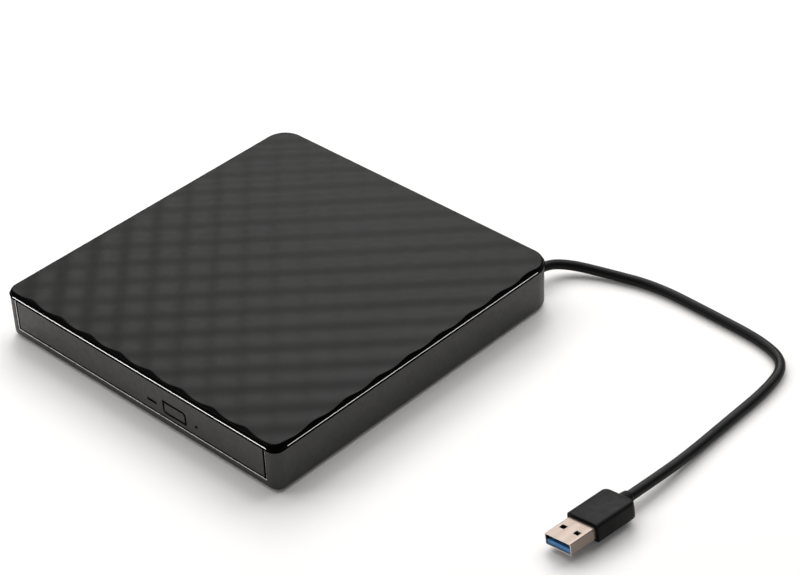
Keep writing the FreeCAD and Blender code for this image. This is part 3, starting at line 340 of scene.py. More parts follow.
@dataclass(frozen=True)
class Ribbon(Finish):
    """A flat cable: film over conductors that lie side by side along Y."""

    pitch: float = 0.5
    wire: Colour = tone(150, 128, 84)

    def colours(self, sketch: Sketch, place: Socket) -> Socket:
        """Film colour with the conductors showing through it."""
        inputs = {"Vector": place, "Scale": BAND_SCALE / self.pitch}
        bands = sketch.add("ShaderNodeTexWave", inputs, bands_direction="X")
        share = sketch.between(bands.outputs["Fac"], 0.0, 1.0, 0.45, 0.6)
        return sketch.blend(share, super().colours(sketch, place), self.wire)


@dataclass(frozen=True)
class Winding(Finish):
    """Enamelled wire wound in turns."""

    wire: float = 0.25

    def relief(self, sketch: Sketch, place: Socket) -> Socket:
        """Round turns of wire, one above another."""
        inputs = {"Vector": place, "Scale": BAND_SCALE / self.wire, "Distortion": 0.4}
        return sketch.add("ShaderNodeTexWave", inputs, bands_direction="Z").outputs["Fac"]


@dataclass(frozen=True)
class Glass(Finish):
    """A clear lens with a faint coating tint."""

    def extras(self) -> dict[str, float]:
        """Let light through."""
        return {"Transmission Weight": 0.85, "IOR": 1.5}


# Each row: name, two colours, roughness and its spread, grain and its depth, scale of the blotches.
FINISHES: dict[str, Finish] = {
    "cover_plastic": CoverSkin("satin_cover", tone(29, 29, 28), tone(33, 33, 32),
        0.34, 0.02, 1.6, 0.003, 0.03, specular=0.04),
    "case_plastic": Finish("moulded_case", tone(33, 33, 32), tone(37, 37, 36),
        0.46, 0.05, 2.2, 0.008, 0.04, edge=0.1),
    "bezel_plastic": Finish("moulded_panel", tone(39, 38, 37), tone(43, 42, 41),
        0.44, 0.05, 2.4, 0.007, 0.04, edge=0.1),
    # Near-black painted shade, laid where parts meet and in recesses: the groove under the cover, the
    # opening's walls, the panel's and button's side faces and a band round the button.
    "groove": Finish("painted_shade_groove", tone(5, 5, 5), tone(9, 9, 9),
        0.8, 0.05, 3.0, 0.004, 0.1, specular=0.05, edge=0.02),
    # Near-white painted highlight on the rounded edge round the front opening.
    "painted_edge_highlight": Finish("painted_edge_highlight", tone(240, 239, 237), tone(220, 219, 217),
        0.3, 0.05, 1.2, 0.002, 0.06, metallic=0.7, edge=0.02),
    "rubber": Finish("foot_rubber", tone(34, 34, 34), tone(44, 43, 42),
        0.8, 0.08, 3.0, 0.02, 0.2, specular=0.3),
    "sheet_steel": Finish("zinc_sheet", tone(150, 152, 154), tone(128, 131, 134),
        0.4, 0.08, 1.2, 0.004, 0.12, metallic=1.0, run=Run.ALONG_X),
    "rail_steel": Finish("rail_steel", tone(188, 190, 192), tone(160, 163, 166),
        0.28, 0.06, 1.6, 0.003, 0.2, metallic=1.0, run=Run.ALONG_Y),
    "board_green": Board("circuit_board", tone(22, 84, 52), tone(18, 74, 46), 0.38, 0.05, 1.2, 0.006, 0.08),
    "chip_plastic": Finish("chip_resin", tone(36, 36, 37), tone(46, 46, 46), 0.6, 0.08, 4.0, 0.01, 0.3),
    "connector_plastic": Finish("socket_plastic", tone(206, 200, 184), tone(190, 184, 168),
        0.5, 0.06, 2.0, 0.01, 0.2),
    "cable_film": Ribbon("ribbon_film", tone(214, 214, 208), tone(200, 200, 194),
        0.34, 0.05, 0.8, 0.006, 0.06),
    "tray_plastic": Finish("tray_plastic", tone(40, 40, 41), tone(47, 47, 48),
        0.48, 0.06, 2.4, 0.012, 0.05),
    "inner_plastic": Finish("glassed_plastic", tone(30, 30, 31), tone(40, 40, 41),
        0.52, 0.08, 1.5, 0.012, 0.1),
    "copper": Winding("wound_copper", tone(196, 112, 62), tone(166, 88, 46),
        0.3, 0.06, 1.5, 0.05, 0.4, metallic=0.9, edge=0.2),
    "core_steel": Finish("stamped_core", tone(120, 122, 126), tone(96, 99, 104),
        0.42, 0.08, 2.0, 0.01, 0.3, metallic=1.0, run=Run.ALONG_X),
    "rod_steel": Finish("ground_rod", tone(206, 208, 210), tone(184, 187, 190),
        0.16, 0.04, 1.2, 0.002, 0.3, metallic=1.0),
    "lens_glass": Glass("lens_glass", tone(196, 206, 226), tone(180, 196, 222),
        0.04, 0.01, 0.5, 0.0005, 0.5, coat=0.6),
    "magnet": Finish("nickel_magnet", tone(166, 164, 158), tone(140, 138, 133),
        0.3, 0.06, 1.4, 0.004, 0.4, metallic=1.0),
    "lamp_lens": Finish("lamp_window", tone(6, 6, 7), tone(10, 10, 11),
        0.3, 0.04, 1.0, 0.003, 0.3, specular=0.2),
    "spring_steel": Finish("spring_wire", tone(196, 197, 198), tone(170, 171, 172),
        0.22, 0.05, 1.0, 0.002, 0.4, metallic=1.0),
    "cord_plastic": Finish("cord_jacket", tone(13, 13, 13), tone(18, 18, 18),
        0.42, 0.06, 1.4, 0.006, 0.05, specular=0.14),
    "plug_plastic": Finish("plug_grip", tone(16, 16, 16), tone(20, 20, 20),
        0.46, 0.05, 2.4, 0.008, 0.06, specular=0.09),
    "shell_metal": Finish("nickel_shell", tone(134, 122, 113), tone(122, 111, 103),
        0.36, 0.06, 1.2, 0.003, 0.15, metallic=1.0, edge=0.1, run=Run.ALONG_Y),
    # Near-white painted highlight on the rim of the plug shell's mouth.
    "painted_mouth_highlight": Finish("painted_mouth_highlight", tone(236, 230, 224), tone(216, 210, 204),
        0.25, 0.05, 1.2, 0.002, 0.15, metallic=0.8, edge=0.05),
    "tongue_blue": Finish("blue_tongue", tone(60, 142, 206), tone(48, 124, 190),
        0.38, 0.05, 1.5, 0.006, 0.2),
    "contact_gold": Finish("gold_contact", tone(232, 190, 104), tone(214, 170, 88),
        0.24, 0.05, 1.0, 0.002, 0.3, metallic=1.0),
    # Pale painted highlights on the rounded edges of the case and the front panel, standing for light caught
    # on those edges.
    "case_plastic_edge": Finish("case_edge", tone(150, 149, 147), tone(120, 119, 118),
        0.3, 0.05, 1.2, 0.002, 0.06, edge=0.05),
    "bezel_plastic_edge": Finish("panel_edge", tone(150, 148, 146), tone(112, 111, 110),
        0.3, 0.05, 1.2, 0.002, 0.06, edge=0.05),
}


class FinishShelf:
    """Makes each finish once and puts it on pieces and solids."""

    def __init__(self) -> None:
        """Start with nothing made."""
        self.made: dict[str, bpy.types.Material] = {}

    def get(self, slot: str) -> bpy.types.Material:
        """Give a material by its slot's or its edge's name, made at its first use."""
        if slot not in self.made:
            self.made[slot] = FINISHES[slot].build()
        return self.made[slot]

    def dress(self, piece: Piece, slot: str) -> None:
        """Put a finish on a new piece as its only material."""
        piece.data.materials.clear()
        piece.data.materials.append(self.get(slot))

    def dress_nodes(self) -> None:
        """Put the record's finish on each solid."""
        for row in frame["record"]["subparts"]:
            for socket in frame["nodes"][row["node"]].material_slots:
                socket.material = self.get(row["material_slot"])


class Pick(Enum):
    """What is selected on a mesh."""

    EDGES = "EDGE"
    FACES = "FACE"


class Bench:
    """Ways to shape one piece at a time. Sizes are given in millimetres."""

    @staticmethod
    def alone(piece: Piece) -> None:
        """Close what is open, and select one piece and nothing else."""
        if bpy.context.mode != "OBJECT":
            bpy.ops.object.mode_set(mode="OBJECT")
        bpy.ops.object.select_all(action="DESELECT")
        piece.select_set(True)
        bpy.context.view_layer.objects.active = piece

    @staticmethod
    def scrap(piece: Piece) -> None:
        """Take a piece away."""
        Bench.alone(piece)
        bpy.ops.object.delete()

    @staticmethod
    def named(name: str) -> Piece:
        """Name the piece just added and put its place into its mesh."""
        piece = bpy.context.object
        piece.name = name
        piece.data.name = name
        Bench.alone(piece)
        bpy.ops.object.transform_apply(location=True, rotation=True, scale=True)
        return piece

    @staticmethod
    def block(name: str, low: Place, high: Place) -> Piece:
        """Start a piece from a block.

        Args:
            name: The piece's name.
            low: Lowest corner.
            high: Highest corner.

        Returns:
            The new piece.
        """
        middle = [(a + b) / 2 * MM for a, b in zip(low, high)]
        bpy.ops.mesh.primitive_cube_add(size=1, location=middle)
        bpy.context.object.scale = [(b - a) * MM for a, b in zip(low, high)]
        return Bench.named(name)

    @staticmethod
    def pick(piece: Piece, what: Pick, test: Callable[[object], bool]) -> None:
        """Open a piece and select what passes a test.

        Args:
            piece: The piece to open.
            what: Whether edges or faces are selected.
            test: Takes an edge or face and says whether it is selected.
        """
        Bench.alone(piece)
        bpy.ops.object.mode_set(mode="EDIT")
        bpy.ops.mesh.select_mode(type=what.value)
        bpy.ops.mesh.select_all(action="DESELECT")
        mesh = bmesh.from_edit_mesh(piece.data)
        rows = mesh.edges if what is Pick.EDGES else mesh.faces
        for row in [row for row in rows if test(row)]:
            row.select_set(True)
        mesh.select_flush_mode()
        bmesh.update_edit_mesh(piece.data)

    @staticmethod
    def close(piece: Piece, angle: float) -> Piece:
        """Close a piece, turn its faces outwards and smooth its shading.

        Args:
            piece: The piece being edited or just made.
            angle: Edges flatter than this many degrees are shaded smooth.

        Returns:
            The same piece.
        """
        Bench.alone(piece)
        bpy.ops.object.mode_set(mode="EDIT")
        bpy.ops.mesh.select_all(action="SELECT")
        bpy.ops.mesh.remove_doubles(threshold=WELD * MM)
        bpy.ops.mesh.normals_make_consistent(inside=False)
        bpy.ops.object.mode_set(mode="OBJECT")
        bpy.ops.object.shade_smooth_by_angle(angle=math.radians(angle))
        return piece

    @staticmethod
    def modify(piece: Piece, kind: str, **settings: object) -> None:
        """Add a modifier and apply it at once."""
        Bench.alone(piece)
        modifier = piece.modifiers.new(kind.lower(), kind)
        for name, value in settings.items():
            setattr(modifier, name, value)
        bpy.ops.object.modifier_apply(modifier=modifier.name)

    @staticmethod
    def paint(piece: Piece, material: bpy.types.Material, test: Callable[[object], bool]) -> None:
        """Give the faces that pass a test a finish of their own."""
        piece.data.materials.append(material)
        Bench.pick(piece, Pick.FACES, test)
        piece.active_material_index = len(piece.data.materials) - 1
        bpy.ops.object.material_slot_assign()
        bpy.ops.object.mode_set(mode="OBJECT")

    @staticmethod
    def softened(name: str, node: str, width: float, steps: int = 2, angle: float = 40.0) -> Piece:
        """Copy a solid, join its loose triangles into whole faces and round its sharp edges.

        Args:
            name: The new piece's name.
            node: The solid's name.
            width: How wide the rounding is, or 0 for none.
            steps: Steps across the rounding.
            angle: Edges sharper than this many degrees are rounded.

        Returns:
            The new piece, whose rounded edges take its second material.
        """
        packed = frame["nodes"][node]
        piece = bpy.data.objects.new(name, packed.data.copy())
        piece.data.name = name
        bpy.context.collection.objects.link(piece)
        piece.matrix_world = packed.matrix_world
        Bench.alone(piece)
        bpy.ops.object.mode_set(mode="EDIT")
        bpy.ops.mesh.select_all(action="SELECT")
        bpy.ops.mesh.remove_doubles(threshold=2 * WELD * MM)
        bpy.ops.mesh.customdata_custom_splitnormals_clear()
        bpy.ops.mesh.dissolve_limited(angle_limit=math.radians(1.0))
        bpy.ops.object.mode_set(mode="OBJECT")
        piece.data.materials.append(piece.data.materials[0])
        if width:
            Bench.modify(piece, "BEVEL", width=width * MM, segments=steps, limit_method="ANGLE",
                         angle_limit=math.radians(angle), material=1, use_clamp_overlap=True)
        Bench.even_out(piece)
        return piece

    @staticmethod
    def even_out(piece: Piece) -> None:
        """Work out the shading again, so that wide flat faces stay flat beside rounded edges."""
        Bench.alone(piece)
        bpy.ops.object.mode_set(mode="EDIT")
        bpy.ops.mesh.customdata_custom_splitnormals_clear()
        bpy.ops.object.mode_set(mode="OBJECT")
        bpy.ops.object.shade_smooth_by_angle(angle=math.radians(30))
        Bench.modify(piece, "WEIGHTED_NORMAL", keep_sharp=True, weight=100)

    @staticmethod
    def copy(piece: Piece, name: str, place: Matrix) -> Piece:
        """Copy a piece with a mesh of its own and put it in its place.

        Args:
            piece: The piece to copy.
            name: The copy's name.
            place: Where the copy goes, measured in metres from where the first piece is.

        Returns:
            The copy.
        """
        Bench.alone(piece)
        bpy.ops.object.duplicate(linked=False)
        twin = bpy.context.object
        twin.matrix_world = place
        return Bench.named(name)

    @staticmethod
    def loft(name: str, rings: list[list[Vector]]) -> Piece:
        """Draw a closed body out ring by ring, each ring with the same number of points.

        Args:
            name: The piece's name.
            rings: Rings of points in order, in millimetres.

        Returns:
            The new piece, closed at both ends.
        """
        bpy.ops.mesh.primitive_circle_add(vertices=len(rings[0]), radius=MM, fill_type="NGON")
        piece = Bench.named(name)
        for number, ring in enumerate(rings):
            bpy.ops.object.mode_set(mode="EDIT")
            if number:
                bpy.ops.mesh.extrude_region_move()
            mesh = bmesh.from_edit_mesh(piece.data)
            if number == 0:
                for point in mesh.verts:
                    point.select_set(True)
            order = Bench.around([point for point in mesh.verts if point.select])
            for point, place in zip(order, ring):
                point.co = place * MM
            bmesh.update_edit_mesh(piece.data)
            bpy.ops.object.mode_set(mode="OBJECT")
        return piece

    @staticmethod
    def around(points: list) -> list:
        """Put the selected ring's points in order along its edges."""
        inside = set(points)
        start = min(points, key=lambda point: point.index)
        order = [start]
        before = None
        while len(order) < len(points):
            here = order[-1]
            ahead = [e.other_vert(here) for e in here.link_edges if e.other_vert(here) in inside]
            ahead = [p for p in ahead if p is not before and p is not start]
            if len(order) == 1:
                ahead = sorted(ahead, key=lambda point: point.index)[:1]
            before = here
            order.append(ahead[0])
        return order

    @staticmethod
    def turned(name: str, profile: list[tuple[float, float]], steps: int) -> Piece:
        """Turn a profile about the Z axis, as on a lathe.

        Args:
            name: The piece's name.
            profile: Radius and height of each point.
            steps: Number of steps round the axis.

        Returns:
            The new piece.
        """
        bpy.ops.mesh.primitive_circle_add(vertices=len(profile), radius=MM, fill_type="NOTHING")
        piece = Bench.named(name)
        bpy.ops.object.mode_set(mode="EDIT")
        mesh = bmesh.from_edit_mesh(piece.data)
        order = Bench.around(list(mesh.verts))
        last = next(e for e in order[-1].link_edges if e.other_vert(order[-1]) is order[0])
        mesh.edges.remove(last)
        for point, (radius, height) in zip(order, profile):
            point.co = Vector((radius * MM, 0, height * MM))
        bmesh.update_edit_mesh(piece.data)
        bpy.ops.mesh.select_all(action="SELECT")
        bpy.ops.mesh.spin(steps=steps, angle=math.tau, center=(0, 0, 0), axis=(0, 0, 1))
        return Bench.close(piece, 32.0)


@dataclass
class PhotoCamera:
    """The camera at the photograph's place."""

    azimuth: float = 44.39
    elevation: float = 36.18
    roll: float = -2.48
    lens: float = 106.82
    sensor: float = 36.0
    far: float = 20.0
    place: Place = (540.09, -487.57, 542.6)

    def build(self) -> None:
        """Add the camera and make it the scene's own."""
        bpy.ops.object.camera_add(location=Vector(self.place) * MM)
        camera = bpy.context.object
        camera.name = "photo_camera"
        camera.data.sensor_width = self.sensor
        camera.data.lens = self.lens
        camera.data.clip_end = self.far
        a, e, r = (math.radians(v) for v in (self.azimuth, self.elevation, self.roll))
        back = Vector((math.sin(a) * math.cos(e), -math.cos(a) * math.cos(e), math.sin(e)))
        right = Vector((math.cos(a), math.sin(a), 0))
        up = back.cross(right)
        level = Matrix((right, up, back))
        turn = Matrix(((math.cos(r), math.sin(r), 0), (-math.sin(r), math.cos(r), 0), (0, 0, 1)))
        axes = (turn @ level).transposed().to_4x4()
        camera.matrix_world = Matrix.Translation(Vector(self.place) * MM) @ axes
        bpy.context.scene.camera = camera


@dataclass
class Studio:
    """Pale floor, wide soft lamps on the left, behind and far back, a weak one in front, and a dim sky."""

    floor_size: float = 12000.0
    floor_colour: Colour = (0.95, 0.93, 0.91, 1.0)
    floor_roughness: float = 0.9
    floor_specular: float = 0.1
    low_sky: float = 0.1
    high_sky: float = 0.2
    lift: float = 0.05
    lamps: tuple[tuple[str, Place, float, float], ...] = (
        ("left_lamp", (-1418.0, 100.0, 1880.0), 2000.0, 32.0),
        ("back_lamp", (-100.0, 1418.0, 1880.0), 2000.0, 32.0),
        ("far_lamp", (-1850.0, 1950.0, 1850.0), 1300.0, 34.0),
        ("front_lamp", (-1100.0, -1150.0, 1090.0), 400.0, 4.0),
    )
    target: Place = (20.0, 0.0, 0.0)

    def build(self) -> None:
        """Add the floor, the lamps and the sky."""
        self.add_floor()
        for name, place, side, power in self.lamps:
            self.add_lamp(name, place, side, power)
        self.add_sky()
        bpy.context.scene.view_settings.view_transform = "Standard"

    def add_floor(self) -> None:
        """Add a wide pale floor that keeps the object's shadow and is lifted to white for the camera."""
        bpy.ops.mesh.primitive_plane_add(size=self.floor_size * MM)
        floor = Bench.named("pale_floor")
        sketch = Sketch("pale_floor")
        shader = sketch.add("ShaderNodeBsdfPrincipled", {
            "Base Color": self.floor_colour, "Roughness": self.floor_roughness,
            "Specular IOR Level": self.floor_specular})
        rays = sketch.add("ShaderNodeLightPath").outputs
        seen = sketch.sum("MAXIMUM", rays["Is Camera Ray"], rays["Is Glossy Ray"])
        seen = sketch.sum("MAXIMUM", seen, rays["Is Transmission Ray"])
        lift = sketch.add("ShaderNodeEmission", {"Strength": sketch.sum("MULTIPLY", seen, self.lift)})
        both = {0: shader.outputs["BSDF"], 1: lift.outputs["Emission"]}
        sketch.finish(sketch.add("ShaderNodeAddShader", both).outputs[0])
        floor.data.materials.append(sketch.material)

    def add_lamp(self, name: str, place: Place, side: float, power: float) -> None:
        """Add a square soft lamp that points at the object.

        Args:
            name: The lamp's name.
            place: Its middle.
            side: Its side.
            power: Its power in watts.
        """
        bpy.ops.object.light_add(type="AREA", location=Vector(place) * MM)
        lamp = bpy.context.object
        lamp.name = name
        lamp.data.size = side * MM
        lamp.data.energy = power
        aim = Vector(self.target) - Vector(place)
        lamp.rotation_euler = aim.to_track_quat("-Z", "Y").to_euler()

    def add_sky(self) -> None:
        """Light from all round, a little brighter overhead."""
        world = bpy.data.worlds.new("studio_sky")
        world.use_nodes = True
        bpy.context.scene.world = world
        sky = Nodes(world.node_tree)
        place = sky.add("ShaderNodeTexCoord").outputs["Generated"]
        height = sky.add("ShaderNodeSeparateXYZ", {0: place}).outputs["Z"]
        inputs = {"Value": height, "To Min": self.low_sky, "To Max": self.high_sky}
        rise = sky.add("ShaderNodeMapRange", inputs).outputs["Result"]
        light = sky.add("ShaderNodeBackground", {"Strength": rise}).outputs[0]
        sky.add("ShaderNodeOutputWorld", {"Surface": light})


@dataclass
class WavedCover:
    """The top cover: an under-edge lip, a rounded rim and a top pressed in crossing waves."""

    half_width: float = 72.3
    half_depth: float = 74.3
    front_corner: float = 4.2
    rear_corner: float = 9.4
    under_z: float = 18.55
    under_width: float = 1.6
    lip_top: float = 18.9
    lip_reach: float = 0.2
    lip_round: float = 0.06
    ledge: float = 0.08
    ledge_step: float = 0.04
    rim_low: float = 19.0
    rim_radius: float = 2.0
    rim_steps: int = 15
    flats: tuple[float, ...] = (0.3, 0.7, 1.2, 1.8)
    fixed_rings: int = 7
    lip_rings: tuple[int, int] = (4, 5)
    # Marks that set the lip's painted highlight: full on the front, weaker on the sides where less light
    # falls, and none at the corners, which take the black rim.
    corner_mark: float = 1.0
    front_highlight_mark: float = 2.0
    side_highlight_mark: float = 1.84
    corner_step: float = 0.09
    least_reach: float = 0.02
    wave_middle: float = 20.62
    wave_rise: float = 0.26
    wave_pitch: float = 16.3
    wave_x: float = -1.2
    wave_y: float = 2.5
    cells: int = 150
    pocket: float = 0.8
    stretch_x: float = 0.87
    stretch_y: float = 1.78

    def rings(self) -> list[tuple[float, float]]:
        """Inset and height of each ring, from under the lip to the edge of the flat top."""
        start = self.ledge + self.ledge_step
        rows = [
            (self.under_width, self.under_z),
            (self.lip_round - self.lip_reach, self.under_z),
            (-self.lip_reach, self.under_z + self.lip_round),
            (-self.lip_reach, self.lip_top - self.lip_round),
            (self.lip_round - self.lip_reach, self.lip_top),
            (self.ledge, self.lip_top + self.ledge_step),
            (start, self.rim_low + self.ledge_step),
        ]
        for step in range(1, self.rim_steps + 1):
            angle = math.radians(90 * step / self.rim_steps)
            rows.append((start + (self.rim_radius - start) * (1 - math.cos(angle)),
                         self.rim_low + self.rim_radius * math.sin(angle)))
        top = self.rim_low + self.rim_radius
        return rows + [(self.rim_radius + more, top) for more in self.flats]

    def stretched(self, inset: float, stretch: float) -> float:
        """Widen or narrow the rounded rim by a share and move what lies inside it along.

        Args:
            inset: Distance from the side in millimetres, for a rim as wide as it is high.
            stretch: The rim's width as a share of its height.

        Returns:
            The distance for the stretched rim.
        """
        rim = min(max(inset - self.ledge, 0.0), self.rim_radius - self.ledge)
        return inset + rim * (stretch - 1)

    def inset_of(self, near: int, rows: list[tuple[float, float]], half: float, stretch: float) -> float:
        """Find how far in from a side a ring lies.

        Args:
            near: The ring's number, counted from the outside.
            rows: Inset and height of each ring of the rim.
            half: Half the cover's size across that side.
            stretch: The rim's width as a share of its height.

        Returns:
            The ring's distance from the side.
        """
        if near < len(rows):
            return self.stretched(rows[near][0], stretch)
        spread = half - self.stretched(rows[-1][0], stretch)
        return half - abs((near - len(rows) + 1) * 2 * spread / (self.cells + 2) - spread)

    def wave(self, x: float, y: float) -> float:
        """Height of the waves at a place."""
        turn = math.tau / self.wave_pitch
        return self.wave_middle + self.wave_rise * math.cos(turn * (x - self.wave_x)) * math.cos(
            turn * (y - self.wave_y))

    def build(self, shelf: FinishShelf) -> None:
        """Make the cover in place of its solid.

        Args:
            shelf: Where the finish comes from.
        """
        rows = self.rings()
        edge = len(rows)
        count = self.cells + 2 * edge
        bpy.ops.mesh.primitive_grid_add(x_subdivisions=count, y_subdivisions=count, size=2)
        cover = Bench.named("waved_cover")
        rim = cover.data.attributes.new("rim", "FLOAT", "POINT")
        marks = [0.0] * len(cover.data.vertices)
        for number, point in enumerate(cover.data.vertices):
            across = round((point.co.x + 1) / 2 * count)
            along = round((point.co.y + 1) / 2 * count)
            point.co, marks[number] = self.place(across, along, count, rows)
        rim.data.foreach_set("value", marks)
        Bench.pick(cover, Pick.EDGES, lambda e: e.is_boundary)
        bpy.ops.mesh.extrude_edges_move(TRANSFORM_OT_translate={"value": (0, 0, self.pocket * MM)})
        bpy.ops.mesh.edge_face_add()
        Bench.close(cover, 50.0)
        shelf.dress(cover, "cover_plastic")
        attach(cover, "case")
        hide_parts("top_cover")

    def place(self, across: int, along: int, count: int, rows: list[tuple[float, float]]
              ) -> tuple[Vector, float]:
        """Find where a point of the square grid goes.

        Args:
            across: The point's column.
            along: The point's row.
            count: Number of cells along a side.
            rows: Inset and height of each ring.

        Returns:
            The point's place in metres, and its mark: how far the rim is below the waves there, or the mark
            that sets the lip's painted highlight.
        """
        edge = len(rows)
        last = next(number for number, row in enumerate(rows) if row[0] >= self.rim_radius)
        spots = []
        for number, half, stretch in ((across, self.half_width, self.stretch_x),
                                      (along, self.half_depth, self.stretch_y)):
            near = min(number, count - number)
            inset = self.inset_of(near, rows, half, stretch)
            if near >= edge:
                spots.append((inset, inset, near))
            elif near > last:
                spots.append((rows[near][0], inset, near))
            else:
                spots.append((self.rim_radius - self.corner_step * (last - near), inset, near))
        (grid_x, inset_x, near_x), (grid_y, inset_y, near_y) = spots
        side_x = -1 if across < count / 2 else 1
        side_y = -1 if along < count / 2 else 1
        corner = self.front_corner if side_y < 0 else self.rear_corner
        a = corner - grid_x
        b = corner - grid_y
        in_corner = a > 0 and b > 0
        if in_corner:
            angle = math.pi / 4 * b / a if a >= b else math.pi / 2 - math.pi / 4 * a / b
            ring = near_x if a >= b else near_y
            share = angle / (math.pi / 2)
            blend = (1 - share) * self.inset_of(ring, rows, self.half_width, self.stretch_x)
            blend += share * self.inset_of(ring, rows, self.half_depth, self.stretch_y)
            least = self.least_reach * (self.half_width - blend) / self.half_width
            reach = max(corner - blend, least)
            x = self.half_width - corner + reach * math.cos(angle)
            y = self.half_depth - corner + reach * math.sin(angle)
        else:
            x = self.half_width - inset_x
            y = self.half_depth - inset_y
        x *= side_x
        y *= side_y
        near = min(near_x, near_y)
        rim_z = rows[near][1] if near < edge else self.rim_low + self.rim_radius
        if near < self.fixed_rings:
            # The lip's rings take the painted highlight's mark, brighter on the front than on the sides; the
            # other rings and the corners take the rim.
            mark = self.front_highlight_mark if near_y < near_x else self.side_highlight_mark
            on_lip = self.lip_rings[0] <= near <= self.lip_rings[1]
            return Vector((x, y, rim_z)) * MM, mark if on_lip and not in_corner else self.corner_mark
        wave_z = self.wave(x, y)
        return Vector((x, y, min(rim_z, wave_z))) * MM, wave_z - rim_z


def rounded_ring(half_x: float, half_z: float, radius: float, y: float, steps: int = 6) -> list[Vector]:
    """Draw a rounded rectangle across Y.

    Args:
        half_x: Half its width.
        half_z: Half its height.
        radius: Its corners' radius.
        y: Where it stands along Y.
        steps: Steps in each corner.

    Returns:
        Its points in order.
    """
    points = []
    for turn, side_x, side_z in ((0, 1, 1), (90, -1, 1), (180, -1, -1), (270, 1, -1)):
        for step in range(steps + 1):
            angle = math.radians(turn + 90 * step / steps)
            points.append(Vector((side_x * (half_x - radius) + radius * math.cos(angle), y,
                                  side_z * (half_z - radius) + radius * math.sin(angle))))
    return points


@dataclass
class CordAndPlug:
    """The fixed cord from the rear wall round to its plug, which lies on one long edge in front."""

    exit_place: Place = (59.6, 75.3, 6.5)
    diameter: float = 4.0
    length: float = 216.1
    plug_back: Place = (167.1, -3.45, 4.589)
    plug_turn: float = -3.9
    plug_roll: float = 9.9
    tip_lift: float = 1.3
    grip_half_width: float = 7.25
    grip_half_height: float = 3.6
    grip_length: float = 19.1
    side_radius: float = 1.3
    tip_radius: float = 0.3
    back_radius: float = 2.2
    back_drop: float = 0.7
    collar: Spots = ((2.95, 0.0), (2.8, 0.15), (2.6, 2.9), (2.52, 3.35), (2.3, 3.7), (2.05, 3.8))
    collar_length: float = 3.8
    straight: float = 13.0

    def plug_matrix(self) -> Matrix:
        """Where the plug lies: drawn about the Y axis with the grip's back face at Y 0."""
        turns = Matrix.Rotation(math.radians(self.plug_turn), 4, "Z")
        turns = turns @ Matrix.Rotation(math.radians(-self.tip_lift), 4, "X")
        turns = turns @ Matrix.Rotation(math.radians(-self.plug_roll), 4, "Y")
        return Matrix.Translation(Vector(self.plug_back) * MM) @ turns

    def route(self) -> list[Place]:
        """Points that the cord's line follows, from the rear wall to the plug's collar."""
        return [
            self.exit_place, (59.6, 83.2, 6.5), (64.8, 92.6, 3.9), (79.0, 99.0, 2.4), (98.0, 104.6, 2.15),
            (124.0, 103.9, 2.05), (150.2, 102.6, 2.05), (163.4, 96.6, 2.05), (166.9, 81.4, 2.05),
            (167.3, 57.0, 2.05), (168.2, 31.5, 2.7),
            self.behind_plug(self.collar_length + self.straight), self.behind_plug(self.collar_length),
        ]

    def behind_plug(self, behind: float) -> Place:
        """A point behind the grip's back face, on the plug's axis."""
        return tuple(self.plug_matrix() @ Vector((0, behind * MM, 0)) / MM)

    def build(self, shelf: FinishShelf) -> None:
        """Args:
            shelf: Where the finishes come from.
        """
        cord = self.make_cord()
        shelf.dress(cord, "cord_plastic")
        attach(cord, "case")
        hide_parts("usb_cord")
        grip = self.make_grip()
        shelf.dress(grip, "plug_plastic")
        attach(grip, "case")
        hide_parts("plug_grip")
        shell = self.make_shell(shelf)

    def make_shell(self, shelf: FinishShelf) -> Piece:
        """Make the plug's folded shell, with a painted highlight on the rim of its mouth."""
        shell = Bench.softened("plug_case", "plug_shell", 0.0)
        shell.data.materials[0] = shelf.get("shell_metal")
        mouth = self.plug_matrix().to_3x3() @ Vector((0, -1, 0))
        # Painted highlight: the faces round the mouth take a near-white finish.
        Bench.paint(shell, shelf.get("painted_mouth_highlight"), lambda face: face.normal.dot(mouth) > FACING)
        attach(shell, "case")
        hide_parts("plug_shell")
        return shell

    def make_cord(self) -> Piece:
        """Make the cord as one smooth tube along its route."""
        line = bpy.data.curves.new("cord_run", "CURVE")
        line.dimensions = "3D"
        spline = line.splines.new("NURBS")
        points = self.route()
        spline.points.add(len(points) - 1)
        for point, place in zip(spline.points, points):
            point.co = (*(v * MM for v in place), 1)
        spline.order_u = 3
        spline.use_endpoint_u = True
        spline.resolution_u = 16
        line.bevel_depth = self.diameter / 2 * MM
        line.bevel_resolution = 6
        line.use_fill_caps = True
        cord = bpy.data.objects.new("cord_run", line)
        bpy.context.collection.objects.link(cord)
        return cord

    def make_grip(self) -> Piece:
        """Make the plug's moulded grip with its collar, drawn along Y and turned into place."""
        w, h, r = self.grip_half_width, self.grip_half_height, self.side_radius
        rings = []
        for angle in (0, 30, 60, 90):
            turn = math.radians(angle)
            drop = self.tip_radius * (1 - math.sin(turn))
            y = self.tip_radius * (1 - math.cos(turn)) - self.grip_length
            rings.append(rounded_ring(w - drop, h - drop, r - drop * 0.5, y))
        rings.append(rounded_ring(w, h, r, -self.grip_length / 2))
        for angle in (0, 15, 30, 45, 60, 75, 90):
            turn = math.radians(angle)
            drop_x = self.back_radius * (1 - math.cos(turn))
            drop_z = self.back_drop * (1 - math.cos(turn))
            y = self.back_radius * (math.sin(turn) - 1)
            rings.append(rounded_ring(w - drop_x, h - drop_z, r - drop_z * 0.4, y))
        for radius, y in self.collar:
            rings.append(rounded_ring(radius, radius, radius - 0.05, y))
        grip = Bench.loft("plug_moulding", rings)
        grip.matrix_world = self.plug_matrix()
        Bench.alone(grip)
        bpy.ops.object.transform_apply(location=True, rotation=True, scale=True)
        return Bench.close(grip, 40.0)


